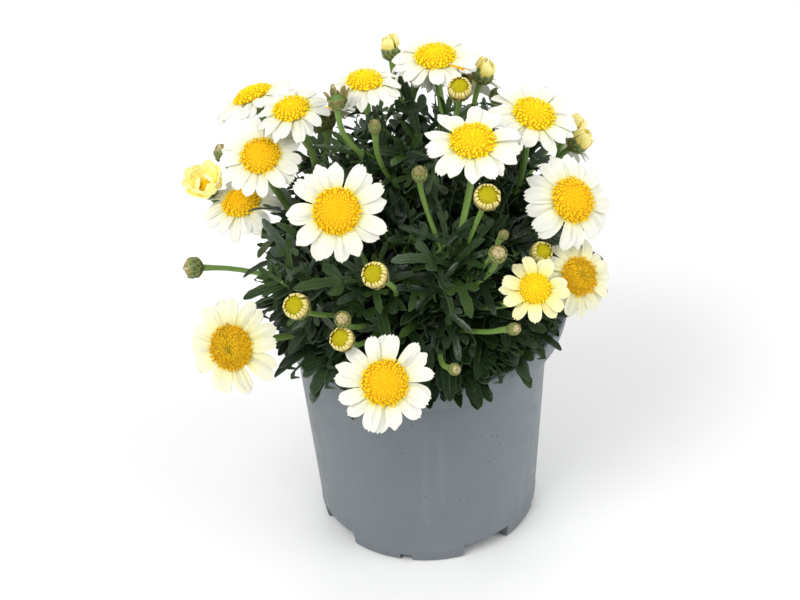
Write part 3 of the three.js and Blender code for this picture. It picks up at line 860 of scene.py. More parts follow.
def petal_finish(name, tip, base, shade, glow=0.0):
    """A ray floret: pale, tinted towards the disc, with fine ribs.

    Young ones are given a faint glow, for the light that goes to and fro between them.
    """
    made = Finish(name, Specular_IOR_Level=0.25, Subsurface_Weight=0.35, Subsurface_Scale=0.002)
    made.feed(made.shader, "Subsurface Radius", (1.0, 0.95, 0.7))
    made.feed(made.shader, "Emission Color", (0.95, 0.82, 0.18, 1.0))
    made.feed(made.shader, "Emission Strength", glow)
    across, along = made.surface()
    tint = made.ramp(along, (0.04, base), (0.26, shade), (0.56, tip))
    veins = made.math("SINE", made.math("MULTIPLY", across, TWELVE_TURNS))
    lined = made.blend(made.range(veins, 0.2, 1, 0, 0.10), tint, shade)
    made.colour(made.blend(made.math("MULTIPLY", made.tone(), 0.35), lined, shade))
    made.roughness(made.range(made.noise(250, 2), 0.3, 0.7, 0.5, 0.65))
    made.bump(made.math("ADD", made.math("MULTIPLY", veins, 0.5), made.noise(300, 3)), 0.25, 0.0004)
    return made.material


def floret_finish(name, dark, light, foot_shade):
    """Disc florets: bright knobs, with painted shade that darkens them towards their feet, between the crowded
    florets.
    """
    made = Finish(name, Roughness=0.7, Specular_IOR_Level=0.2)
    up = made.surface()[1]
    body = made.blend(made.tone(), dark, light)
    # Painted shade: the low part of each floret, and the foot of the disc under them, take the darker colour.
    foot = made.mask(up, 0.15, 0.75, start=1.0, end=0.0)
    made.colour(made.blend(foot, body, foot_shade))
    made.bump(made.noise(1500, 2), 0.3, 0.0003)
    return made.material


# Colours of a bud's tongues from foot to tip, when it opens and while it is shut
FRESH_TONGUE = (
    (0.0, (0.34, 0.30, 0.06)),
    (0.35, (0.70, 0.60, 0.14)),
    (0.7, (0.88, 0.80, 0.32)),
    (1.0, (0.82, 0.68, 0.14)),
)
SHUT_TONGUE = (
    (0.0, (0.08, 0.13, 0.025)),
    (0.4, (0.15, 0.19, 0.05)),
    (0.75, (0.18, 0.20, 0.07)),
    (1.0, (0.22, 0.17, 0.10)),
)


def tongue_finish():
    """The folded ray florets of a bud: yellowish cream when it opens, before that greener, with pale painted
    highlights.

    Both have pinkish spots towards their feet, and brownish edges that are partly their own stripes and partly
    painted shade in the grooves between them.
    """
    made = Finish("bud_tongue_cream", Roughness=0.6)
    across, along = made.surface()
    fresh = made.ramp(along, *FRESH_TONGUE)
    shut = made.ramp(along, *SHUT_TONGUE)
    body = made.blend(made.tone(), shut, fresh)
    pink = made.mask(made.noise(700, 2), 0.5, 0.62)
    low = made.mask(along, 0.3, 0.75, start=0.7, end=0.15)
    # Painted highlights: pale pinkish spots on the shut buds.
    pale = made.mask(made.noise(1000, 2), 0.48, 0.6)
    shut_share = made.range(made.tone(), 0.05, 0.15, 0, 0.75)
    glinted_body = made.blend(made.math("MULTIPLY", pale, shut_share), body, (0.72, 0.60, 0.44))
    bodied = made.blend(made.range(made.tone(), 0.5, 0.8, 0, 1), glinted_body, body)
    spotted = made.blend(made.math("MULTIPLY", pink, low), bodied, (0.36, 0.17, 0.09))
    # Brownish edges: partly the tongues' own stripes, partly painted shade in the grooves between tongues.
    aside = made.math("ABSOLUTE", made.math("SUBTRACT", across, 0.5))
    edge = made.mask(aside, 0.24, 0.48, end=0.8)
    made.colour(made.blend(edge, spotted, (0.34, 0.19, 0.05)))
    made.bump(made.noise(900, 2), 0.3, 0.0003)
    return made.material


# Pot


def ring_cutter(bearing, near, far, low, high, width):
    """A wedge of a ring to cut with, spun round the pot's axis."""
    start_shape()
    bpy.ops.mesh.primitive_plane_add(size=1, rotation=(math.pi / 2, 0, 0))
    obj = bpy.context.object
    bpy.ops.object.transform_apply(location=True, rotation=True, scale=True)
    # The spin goes clockwise, so the wedge starts at its far side.
    turn = Matrix.Rotation(math.radians(bearing + width / 2), 4, "Z")
    for vertex in obj.data.vertices:
        place = vertex.co
        out = mix(near, far, place.x + 0.5) * MM
        up = mix(low, high, place.z + 0.5) * MM
        vertex.co = turn @ Vector((out, 0, up))
    bpy.ops.object.mode_set(mode="EDIT")
    bpy.ops.mesh.select_all(action="SELECT")
    steps = max(1, round(width / 4))
    bpy.ops.mesh.spin(steps=steps, angle=math.radians(width), center=(0, 0, 0), axis=(0, 0, 1))
    face_outwards()
    return obj


def cut(obj, cutter):
    """Cuts a shape out of an object and removes the cutter."""
    apply_modifier(obj, "BOOLEAN", object=cutter, operation="DIFFERENCE", solver="EXACT")
    bpy.data.objects.remove(cutter)


def bulge(points):
    """Pulls points, in millimetres, out of round near the pot's mouth, as the soft plastic is."""
    turn = np.degrees(np.arctan2(points[:, 1], points[:, 0])) / BULGE_SPREAD
    fade = smoothstep(points[:, 2], POT_HEIGHT - BULGE_DEPTH, POT_HEIGHT)
    share = 1 + MOUTH_BULGE * fade * np.exp(-turn * turn) / RIM_RADIUS
    moved = points.copy()
    moved[:, :2] *= share[:, None]
    return moved


def move_points(obj, change):
    """Moves an object's vertices by a change that works in millimetres."""
    count = len(obj.data.vertices)
    places = np.empty(count * 3)
    obj.data.vertices.foreach_get("co", places)
    moved = change(places.reshape(count, 3) / MM) * MM
    obj.data.vertices.foreach_set("co", moved.ravel())
    obj.data.update()


def build_pot():
    """The pot: foot, mould line, tapering wall, turned-down rim band, inner wall and drained base."""
    band = POT_HEIGHT - RIM_BAND

    def wall(up):
        return mix(FOOT_RADIUS, SHOULDER_RADIUS, up / band)

    foot = FOOT_RADIUS - 1.4
    obj = start_disc(POT_SIDES, foot * MM)
    obj.name = "nursery_pot"
    profile = [(foot, 0), (FOOT_RADIUS - 0.5, 0.35), (FOOT_RADIUS, 1.3)]
    profile += [(wall(5.4), 5.4), (wall(6) + 0.25, 5.9), (wall(6.6) + 0.25, 6.5), (wall(7), 7)]
    profile += [(wall(up), up) for up in (20, 40, 60, 76, 86, 91, 96, 100)]
    profile += [(wall(band) - 0.3, band), (RIM_RADIUS - 1.2, band), (RIM_RADIUS - 0.6, band + 0.5)]
    profile += [(RIM_RADIUS - 0.2, 107), (RIM_RADIUS, 111.4), (RIM_RADIUS - 0.3, 112.5)]
    profile += [(RIM_RADIUS - 1, POT_HEIGHT)]
    stack(profile)
    face_outwards()
    base = FOOT_RADIUS - WALL - 0.6
    hollow = start_disc(POT_SIDES, base * MM, WALL * MM)
    inner = [(base, WALL), *((wall(up) - WALL, up) for up in (4, 30, 60, 86, 91, 96, 100))]
    inner += [(MOUTH_RADIUS, 111.6), (MOUTH_RADIUS + 0.5, 112.6), (MOUTH_RADIUS + 1.6, 114)]
    stack(inner)
    face_outwards()
    near = FOOT_RADIUS - RECESS_DEPTH
    lining = 2 * math.degrees(WALL / FOOT_RADIUS)
    for bearing in RECESS_BEARINGS:
        wedge = (near - WALL, FOOT_RADIUS + 4, -2, RECESS_HEIGHT + WALL, RECESS_WIDTH + lining)
        cut(hollow, ring_cutter(bearing, *wedge))
    cut(obj, hollow)
    for bearing in RECESS_BEARINGS:
        cut(obj, ring_cutter(bearing, near, FOOT_RADIUS + 4, -2, RECESS_HEIGHT, RECESS_WIDTH))
        for side in (-1, 1):
            hole = (near + 1, near + 7, RECESS_HEIGHT - 1, RECESS_HEIGHT + 3, HOLE_WIDTH)
            cut(obj, ring_cutter(bearing + side * HOLE_TURN, *hole))
        notch = (FOOT_RADIUS - 6, FOOT_RADIUS + 3, -1, NOTCH_HEIGHT, NOTCH_WIDTH)
        cut(obj, ring_cutter(bearing + 45, *notch))
    move_points(obj, bulge)
    obj.data.materials.append(pot_finish())
    obj.data.materials.append(inner_wall_finish())
    # The upper half of the inner wall is soiled.
    for face in obj.data.polygons:
        inwards = face.center.xy.dot(face.normal.xy) < -0.3 * face.center.xy.length
        face.material_index = int(inwards and face.center.z > 60 * MM)
    settle(obj, ["pot"], smooth=32)


# Soil


def soil_rise(out):
    """How far the soil's domed top rises above its edge, at a distance from the pot's axis."""
    return SOIL_DOME * (1 - (out / SOIL_EDGE) ** 2)


def build_soil(sizes):
    """The soil: a domed, rough top with loose crumbs on it, inside the pot's wall."""
    foot = (50, 10)
    obj = start_disc(SOIL_SIDES, foot[0] * MM, foot[1] * MM)
    obj.name = "potting_soil"
    stack([foot, (58.2, SOIL_TOP - 12), (SOIL_EDGE, SOIL_TOP - 2)])
    for _ in range(22):
        bpy.ops.mesh.inset(thickness=2.5 * MM)
    face_outwards()

    def roughen(points):
        top = points[:, 2] > SOIL_TOP - 3
        out = np.hypot(points[:, 0], points[:, 1])
        rough = np.array([noise.fractal(Vector(p) * 0.16, 0.8, 2.1, 4) for p in points])
        inside = smoothstep(out, SOIL_EDGE, SOIL_EDGE - 5)
        points[:, 2] += top * (1 + soil_rise(out) + 2.4 * rough * inside)
        return bulge(points)

    move_points(obj, roughen)
    obj.data.materials.append(soil_finish())
    settle(obj, ["soil"], smooth=60)
    scatter_crumbs(obj.data.materials[0], sizes.crumbs)


def scatter_crumbs(material, count):
    """Loose crumbs, each a squashed lump that is sunk a little into the soil."""
    start_shape()
    bpy.ops.mesh.primitive_ico_sphere_add(subdivisions=1, radius=1)
    crumb = Pattern(bpy.context.object)
    chance = random.Random(CRUMB_SEED)
    growth = Growth()
    for _ in range(count):
        out = SOIL_EDGE * 0.96 * math.sqrt(chance.random())
        level = SOIL_TOP - 1 + soil_rise(out) + 0.4
        spot = polar(chance.uniform(0, 360), out, level)
        lump = np.array([chance.uniform(0.7, 1.3) for _ in range(len(crumb.verts))])
        shape = crumb.verts * lump[:, None] * np.array([chance.uniform(0.8, 2.1) for _ in range(3)])
        growth.add(bulge(shape + spot), crumb.faces, crumb.marks, chance.random(), 0)
    growth.piece("soil_crumbs", [material], [], smooth=20)


# Shoots


class Garden:
    """What the shoots and heads are made with: the plan, the patterns and the sizes."""

    def __init__(self, sizes):
        draws = Draws(PLAN_SEED)
        self.sizes = sizes
        self.blooms = plan_blooms(draws)
        self.buds = [Head(row, number) for number, row in enumerate(BUDS, 1)]
        self.shoots = [Shoot(row, number) for number, row in enumerate(SHOOTS, 1)]
        draws.skip(12 * len(self.shoots))
        self.draws = draws
        # A pattern is one long, so its thickness is a share of the length that such a leaf has.
        thin = sizes.leaf_thickness / MM
        self.large = leaf_pattern(LARGE_ROWS, LARGE_LOBES, thin / 48)
        self.small = leaf_pattern(SMALL_ROWS, SMALL_LOBES, thin / 40)
        self.narrow = leaf_pattern(NARROW_ROWS, (), thin / 30)
        tips = ((0.06, 0.026), (0.1, 0.006), (0.03, 0.034))
        self.petals = [strap_pattern(8, 7, petal_width, tip, notch, 0.03, 0.02) for tip, notch in tips]
        self.scale = strap_pattern(2, 3, scale_width, 0.1, 0, 0, 0.06)
        self.tongue = strap_pattern(2, 6, tongue_width, 0.12, 0, 0.05, 0.06)
        self.open_floret = floret_pattern(OPEN_FLORET)
        self.closed_floret = floret_pattern(CLOSED_FLORET)


def spoon(pattern, root, along, up, length, curl, fold, twist, width=1.0):
    """A leaf from its pattern: folded along its midrib, arched downwards and slightly twisted."""
    aside = unit(np.cross(up, along))
    above = np.cross(along, aside)
    x = pattern.verts[:, 0] * width
    y = pattern.verts[:, 1]
    z = pattern.verts[:, 2]
    angle = curl * y
    run = np.sin(angle) / curl
    fall = (1 - np.cos(angle)) / curl
    turn = twist * y
    lift = z + np.abs(x) * fold
    side = x * np.cos(turn) - lift * np.sin(turn)
    rise = x * np.sin(turn) + lift * np.cos(turn)
    out = run + rise * np.sin(angle)
    high = rise * np.cos(angle) - fall
    points = np.outer(out, along) + np.outer(side, aside) + np.outer(high, above)
    return root + points * length


def find_leaf(tree, shoot, share, bearing, rise, length):
    """The root, direction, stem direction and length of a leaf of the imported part, or None where it has none.

    The part's source turns, lifts and shortens a leaf until it has room. The same steps are tried here until
    the leaf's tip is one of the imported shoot's points.
    """
    root = shoot.point(share)
    stemward = shoot.tangent(share)
    for attempt in range(15):
        side = heading(bearing + (5 if attempt % 2 else -5) * attempt, 0)
        side = unit(side - stemward * (side @ stemward))
        lift = math.radians(rise + (attempt % 3) * 9)
        along = side * math.cos(lift) + stemward * math.sin(lift)
        reach = length * (1 - 0.025 * attempt)
        above = unit(stemward - along * (along @ stemward))
        run = reach * math.sin(LEAF_CURL) / LEAF_CURL
        fall = reach * (1 - math.cos(LEAF_CURL)) / LEAF_CURL
        tip = root + along * run - above * fall
        if tree.find(Vector(tip * MM))[2] < 0.4 * MM:
            return root, along, stemward, reach
    return None


def clear_of_heads(garden, points):
    """Whether points stay off all blooms and buds."""
    for head in (*garden.blooms, *garden.buds):
        local = (points - head.centre) @ head.turn
        out = np.hypot(local[:, 0], local[:, 1])
        thick = 9 if head in garden.blooms else head.radius + 2
        if np.any((out < head.radius + 2) & (np.abs(local[:, 2] - 1) < thick)):
            return False
    return True


def clear_of_pot(points):
    """Whether points stay off the pot's rim and out of the soil."""
    turn = np.degrees(np.arctan2(points[:, 1], points[:, 0])) / BULGE_SPREAD
    reach = 1 + MOUTH_BULGE * np.exp(-(turn**2)) / RIM_RADIUS
    out = np.hypot(points[:, 0], points[:, 1]) / reach
    up = points[:, 2]
    in_soil = (out < SOIL_CLEAR) & (up < SOIL_TOP + 4)
    in_rim = (out >= RIM_INSIDE) & (out < RIM_OUTSIDE) & (up < POT_HEIGHT + 1)
    too_low = (out >= RIM_OUTSIDE) & (up < LOWEST_LEAF)
    return not np.any(in_soil | in_rim | too_low)


def in_dome(points, grow=0.0):
    """Whether points stay inside the rounded mass of the foliage."""
    out = np.hypot(points[:, 0], points[:, 1])
    up = np.maximum(points[:, 2] - DOME_UP, 0)
    return bool(np.all((out / (DOME_WIDTH + grow)) ** 2 + (up / (DOME_HEIGHT + grow)) ** 2 < 1))


def leaf_tone_and_shade(points, chance):
    """A leaf's tone: random, with painted shade that darkens the leaves deep inside and low in the bush, and
    painted light that brightens those at its outside and top.
    """
    out = np.hypot(points[:, 0], points[:, 1])
    up = np.maximum(points[:, 2] - DOME_UP, 0)
    reach = np.mean(np.hypot(out / DOME_WIDTH, up / DOME_HEIGHT))
    # Painted shade and light: the deeper and lower a leaf sits in the bush, the darker it is.
    fresh = smoothstep(reach, 0.45, 0.85) * mix(0.6, 1, smoothstep(np.mean(points[:, 2]), 140, 190))
    return float(chance.random() ** 1.5 * mix(0.25, 1, fresh) + 0.12 * fresh)


def grow_leaf(garden, growth, chance, patterns, root, stemward, bearing, lift, length, curl=(0.3, 1.1)):
    """Adds a leaf that turns to a bearing and lifts off its stem by some degrees, where it has room."""
    side = heading(bearing, 0)
    side = side - stemward * (side @ stemward)
    if np.linalg.norm(side) < 0.3:
        return False
    tilt = math.radians(lift)
    along = unit(side) * math.cos(tilt) + stemward * math.sin(tilt)
    pattern = chance.choice(patterns)
    bend = chance.uniform(*curl)
    twist = chance.uniform(-0.5, 0.5)
    fold = chance.uniform(0.15, 0.55)
    width = chance.uniform(0.8, 1.1)
    verts = spoon(pattern, root, along, stemward, length, bend, fold, twist, width)
    if not (in_dome(verts) and clear_of_pot(verts) and clear_of_heads(garden, verts)):
        return False
    growth.add(verts, pattern.faces, pattern.marks, leaf_tone_and_shade(verts, chance), LEAF)
    return True


def grow_leaves(garden, growth, shoot, tree, chance):
    """All leaves of a shoot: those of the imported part, then smaller ones that fill the bush."""
    spread = 180 if shoot.number == 1 else LEAF_SPREAD
    index = shoot.number - 1
    count = round(shoot.length / LEAF_SPACING)
    # The places, turns and lengths are those of the part's source.
    for i in range(count + 1):
        share = mix(0.12, 1, i / count)
        turn = (i - 1) * 0.5 if i < 3 else ((i + index * 0.37) * GOLDEN_SHARE) % 1 * 2 - 1
        rise = mix(14, 58, share) + garden.draws.between(-5, 5)
        length = mix(54, 40, share) * garden.draws.between(0.93, 1.05)
        found = find_leaf(tree, shoot, share, shoot.bearing + spread * turn, rise, length)
        if found:
            pattern = garden.large if share < 0.55 else garden.small
            verts = spoon(pattern, *found, LEAF_CURL, 0.3, chance.uniform(-0.2, 0.2))
            growth.add(verts, pattern.faces, pattern.marks, leaf_tone_and_shade(verts, chance), LEAF)
    large, small, narrow = garden.large, garden.small, garden.narrow
    count = garden.sizes.filling_leaves
    for i in range(count):
        share = mix(0.03, 1, (i + chance.random()) / count)
        patterns = (large, large, small, narrow) if share < 0.6 else (small, small, narrow)
        for _ in range(6):
            lift = mix(4, 62, share) + chance.uniform(-14, 16)
            length = mix(48, 30, share) * chance.uniform(0.65, 1.08)
            turn = chance.uniform(-180, 180)
            place = (shoot.point(share), shoot.tangent(share), turn, lift, length)
            if grow_leaf(garden, growth, chance, patterns, *place):
                break
    if shoot.number == 1:
        return
    for _ in range(garden.sizes.rim_leaves):
        share = chance.uniform(0.03, 0.3)
        for _ in range(12):
            turn = shoot.bearing + chance.uniform(-62, 62)
            lift = chance.uniform(12, 50)
            length = chance.uniform(42, 56)
            place = (shoot.point(share), shoot.tangent(share), turn, lift, length)
            if grow_leaf(garden, growth, chance, (large, large, small), *place, curl=(0.8, 1.5)):
                break


def grow_twigs(garden, growth, shoot, chance):
    """Side twigs with small leaves, which close the gaps between the stalks."""
    count = garden.sizes.twigs * (3 if shoot.number == 1 else 1)
    patterns = (garden.small, garden.small, garden.large, garden.narrow)
    for i in range(count):
        share = mix(0.4, 1, (i + chance.random()) / count)
        root = shoot.point(share)
        for _ in range(10):
            length = chance.uniform(28, 46)
            side = heading(chance.uniform(-180, 180), chance.uniform(5, 50))
            control = root + side * length * 0.55
            tip = root + side * length * 0.85 + np.array((0, 0, length * 0.35))
            line = np.array([quadratic(root, control, tip, t) for t in np.linspace(0, 1, 7)])
            if in_dome(line, -6) and clear_of_heads(garden, line):
                break
        else:
            continue
        growth.add(*sweep(line, np.linspace(1.2, 0.7, 7), 6), 0.1, STALK)
        leaves = garden.sizes.twig_leaves
        for k in range(leaves):
            place = mix(1, 6, k / (leaves - 1))
            step = min(int(place), 5)
            foot = mix(line[step], line[step + 1], place - step)
            stemward = unit(line[step + 1] - line[step])
            for _ in range(4):
                lift = mix(20, 66, k / leaves) + chance.uniform(-12, 12)
                size = mix(32, 22, k / leaves) * chance.uniform(0.75, 1.15)
                turn = LEAF_TURN * k + chance.uniform(-30, 30)
                if grow_leaf(garden, growth, chance, patterns, foot, stemward, turn, lift, size):
                    break


def stalk_route(head, shoot, tree):
    """The four control points of a head's stalk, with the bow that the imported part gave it."""
    wanted = head.centre[2] * 0.62 + 18
    top = shoot.at(1)[2]
    share = min(max((wanted - COLLAR) / (top - COLLAR), 0.06), 0.98)
    start = shoot.point(share)
    away = unit(shoot.tangent(share) * 0.8 + unit(head.centre - start))
    neck = head.centre - head.face * NECK
    span = np.linalg.norm(neck - start)
    places = (1 / 3, 2 / 3) if span > 50 else (0.5,)
    least = math.inf
    for attempt in range(30):
        bow = polar(attempt * 67, attempt * 0.9, 0 if attempt % 3 else -attempt * 0.5)
        first = start + away * span * 0.35 + bow
        second = neck - head.face * span * 0.3 + bow
        route = (start, first, second, neck)
        gaps = [tree.find(Vector(cubic(*route, t) * MM))[2] / MM for t in places]
        off = max(abs(gap - STALK_RADIUS) for gap in gaps)
        if off < least:
            least = off
            best = route
    return best


def clad(growth, head, pattern, count, path, width, tone, finish, chance, loose=0.3):
    """A ring of scales or tongues round a head. Path is each one's curve, out and up, from foot to tip."""
    x = pattern.verts[:, 0]
    y = pattern.verts[:, 1]
    z = pattern.verts[:, 2]
    (r0, h0), (r1, h1), (r2, h2) = path
    out = quadratic(r0, r1, r2, y)
    up = quadratic(h0, h1, h2, y)
    slope_out = quadratic_slope(r0, r1, r2, y)
    slope_up = quadratic_slope(h0, h1, h2, y)
    size = np.hypot(slope_out, slope_up) + 1e-9
    thick = z * width
    out = out + thick * slope_up / size
    up = up - thick * slope_out / size
    spin = chance.uniform(0, 1)
    for k in range(count):
        place = k + loose * chance.uniform(-0.5, 0.5)
        turn = spin + 2 * math.pi * place / count + x * width / np.maximum(out, width * 0.35)
        spread = out * (1 + loose * chance.uniform(-0.25, 0.25) * y * y)
        risen = up + loose * chance.uniform(-1.4, 1.4) * y * y
        points = np.stack((spread * np.cos(turn), spread * np.sin(turn), risen), 1)
        own_tone = tone + chance.uniform(-0.1, 0.1)
        growth.add(head.placed(points), pattern.faces, pattern.marks, own_tone, finish)


def turned(head, profile, sides):
    """A closed round body about a head's axis, through points out and up."""
    turns = np.linspace(0, 2 * math.pi, sides, endpoint=False)
    verts = [(out * math.cos(turn), out * math.sin(turn), up) for out, up in profile for turn in turns]
    marks = np.array([(k / sides, i / len(profile)) for i in range(len(profile)) for k in range(sides)])
    return head.placed(np.array(verts)), tube_faces(len(profile), sides), marks


def grow_cup(garden, growth, head, chance):
    """What is under a bloom: a green cup with three rows of overlapping scales."""
    rim = 4.2 if head.kind == "young" else CUP_RADIUS
    profile = [(1.5, -9), (2.3, -7.2), (4.1, -5.8), (rim * 0.92, -3.6), (rim, -1.8), (rim * 0.9, -1.0)]
    growth.add(*turned(head, profile, CUP_SIDES), 0.4, STALK)
    for low, high, out, far in CUP_SCALES:
        reach = far * rim / CUP_RADIUS
        path = ((out * rim / CUP_RADIUS, low), (reach, (low + high) / 2 - 0.5), (reach + 0.2, high))
        clad(growth, head, garden.scale, 12, path, 3.4 * rim / CUP_RADIUS, 0.4, SCALE, chance)


def grow_scales(garden, growth, head, chance, spans, shares, count, width, loose=0.3, tall=1):
    """Rows of overlapping scales round a bud.

    Spans are the low and the high end of each row. Shares of the bud's radius say how far out a scale's foot,
    middle and tip are: the foot's and its change from row to row, the middle's, the tip's and its change.
    """
    r = head.radius
    foot, foot_step, middle, tip, tip_step = shares
    for row, (low, high) in enumerate(spans):
        path = (
            (r * (foot + foot_step * row), low * tall),
            (r * middle, (low + high) / 2 * tall),
            (r * (tip + tip_step * row), high * tall),
        )
        clad(growth, head, garden.scale, count, path, r * width, 0.5, SCALE, chance, loose)


def grow_open_bud(garden, growth, head, chance):
    """An opening bud: a low globe of scales, and folded tongues round its flat centre."""
    r = head.radius
    profile = [(1.5, -8.4), (r * 0.42, -6.4), (r * 0.86, -4.6), (r * 0.94, -2.2), (r * 0.72, -0.1)]
    growth.add(*turned(head, profile, CUP_SIDES), 0.5, STALK)
    spans = ((-6.4, -4.0), (-5.6, -3.0), (-4.6, -1.8))
    grow_scales(garden, growth, head, chance, spans, (0.45, 0.22, 1.02, 0.96, 0.02), 11, 0.55)
    path = ((r * 0.88, -3.2), (r * 1.2, 0.8), (r * 0.7, 2.0))
    clad(growth, head, garden.tongue, 20, path, r * 0.36, 0.9, TONGUE, chance, 0.45)


def grow_spent_bud(garden, growth, head, chance):
    """A bud whose bloom is over: loose scales, and dry tongues that flare."""
    r = head.radius
    profile = [(1.4, -6.6), (r * 0.5, -4.6), (r * 0.8, -2.6), (r * 0.84, -0.4), (r * 0.5, 0.2)]
    growth.add(*turned(head, profile, CUP_SIDES), 0.1, STALK)
    spans = ((-5.4, -2.2), (-4.2, -0.6), (-3.0, 1.2))
    grow_scales(garden, growth, head, chance, spans, (0.5, 0.18, 1, 0.95, 0.08), 10, 0.6, 0.5)
    path = ((r * 0.8, -1.8), (r * 0.98, 1.4), (r * 1.3, 3.6))
    clad(growth, head, garden.tongue, 11, path, r * 0.6, 0.1, TONGUE, chance, 0.9)


def grow_shut_bud(garden, growth, head, chance):
    """A globe of scales that is closed over its tongues, or that young petals have half opened."""
    r = head.radius
    tall = min(1, r / 3.6)
    profile = [(1.3, -7), (r * 0.42, -5.2), (r * 0.78, -3.8), (r * 0.88, -2), (r * 0.84, 0), (r * 0.62, 1.9)]
    profile = [(out, up * tall) for out, up in profile]
    growth.add(*turned(head, profile, CUP_SIDES), 0.5, STALK)
    spans = ((-5.6, -2.2), (-4.4, -0.6), (-2.8, 0.6), (-1.4, 1.7))
    grow_scales(garden, growth, head, chance, spans, (0.5, 0.15, 1, 0.94, -0.06), 10, 0.6, tall=tall)
    if head.kind == "half":
        outer = ((r * 0.84, -1), (r * 1.04, 3.4), (r * 0.56, 6.2))
        inner = ((r * 0.5, 0), (r * 0.72, 3.4), (r * 0.26, 6.4))
        clad(growth, head, garden.tongue, 9, outer, r * 0.64, 0.3, YOUNG_PETAL, chance, 0.8)
        clad(growth, head, garden.tongue, 8, inner, r * 0.44, 0.6, YOUNG_PETAL, chance, 0.8)
        return
    tone = 0.0 if head.number in GREEN_BUDS else chance.uniform(0.15, 0.4)
    knob = [(r * 0.6, 1.8 * tall), (r * 0.3, 2.6 * tall), (0.2, 2.9 * tall)]
    verts, faces, marks = turned(head, knob, 10)
    # The knob has one surface coordinate all over, that of a tongue near its tip.
    growth.add(verts, faces, marks * 0 + (0.5, 0.8), tone, TONGUE)
    path = ((r * 0.7, 0.6 * tall), (r * 0.72, 2.6 * tall), (r * 0.06, 3.2 * tall))
    clad(growth, head, garden.tongue, 11, path, r * 0.4, tone, TONGUE, chance, 0.6)


def grow_stalk(garden, growth, head, shoot, tree, chance):
    """A head's stalk, and the cup or the bud at its end."""
    in_bloom = head in garden.blooms
    route = stalk_route(head, shoot, tree)
    line = [cubic(*route, t) for t in np.linspace(0, 1, 12)]
    line.append(head.centre - head.face * (7.5 if in_bloom else 5))
    thick = 1.7 if in_bloom else 1.25
    radii = np.full(len(line), thick)
    radii[-2:] = (thick * 1.1, thick * 1.4)
    growth.add(*sweep(line, radii, STALK_SIDES), chance.uniform(0.4, 1), STALK)
    if in_bloom:
        grow_cup(garden, growth, head, chance)
    elif head.kind == "open":
        grow_open_bud(garden, growth, head, chance)
    elif head.number == SPENT_BUD:
        grow_spent_bud(garden, growth, head, chance)
    else:
        grow_shut_bud(garden, growth, head, chance)


def build_shoots(garden):
    """The nine leafy shoots, each with its stem, stalks, leaves, cups and buds."""
    colours = ((1.0, 0.88, 0.34), (0.92, 0.66, 0.10), (1.0, 0.80, 0.18))
    lemon = petal_finish("bud_petal_lemon", *colours, glow=0.08)
    # In the order of LEAF, STALK, SCALE, TONGUE and YOUNG_PETAL
    finishes = [leaf_finish(), stalk_finish(), scale_finish(), tongue_finish(), lemon]
    for shoot in garden.shoots:
        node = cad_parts[f"shoot_{shoot.number:02d}"]
        tree = kdtree.KDTree(len(node.data.vertices))
        for vertex in node.data.vertices:
            tree.insert(vertex.co, vertex.index)
        tree.balance()
        chance = random.Random(SHOOT_SEED + shoot.number)
        growth = Growth()
        places = [shoot.foot, *(shoot.at(t) for t in np.linspace(0, 1, 13))]
        radii = [STEM_RADIUS * (1 - 0.035 * i) for i in range(len(places))]
        growth.add(*sweep(places, radii, STALK_SIDES), 0.2, STALK)
        for head in (*garden.blooms, *garden.buds):
            if carrier_of(head, garden.shoots) is shoot:
                grow_stalk(garden, growth, head, shoot, tree, chance)
        grow_leaves(garden, growth, shoot, tree, chance)
        grow_twigs(garden, growth, shoot, chance)
        growth.piece(f"leafy_shoot_{shoot.number:02d}", finishes, [node.name])


# Blooms


def petal_points(pattern, bloom, turn, reach, lift, wide, cup, roll, inward, sway):
    """One ray floret in its bloom's own frame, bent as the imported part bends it."""
    share = pattern.verts[:, 1]
    sunk = 1.6 if bloom.kind == "young" else 3

    def path(at):
        swing = bloom.bend * inward * (0.35 + 0.65 * at)
        out = bloom.hub - sunk + (reach + sunk) * at * np.cos(swing)
        up = lift * at + RAY_ARCH * np.sin(math.pi * at) - (reach + 1.6) * at * np.sin(swing)
        return out, up

    out, up = path(share)
    ahead_out, ahead_up = path(share + 0.01)
    slope_out = ahead_out - out
    slope_up = ahead_up - up
    size = np.hypot(slope_out, slope_up)
    aside = pattern.verts[:, 0] * wide
    thick = pattern.verts[:, 2] * PETAL_LENGTH + cup * (2 * pattern.verts[:, 0]) ** 2 + roll * aside
    out = out - thick * slope_up / size
    up = up + thick * slope_out / size
    turn = turn + sway * share**2
    x = out * np.cos(turn) - aside * np.sin(turn)
    y = out * np.sin(turn) + aside * np.cos(turn)
    return np.stack((x, y, up), 1)


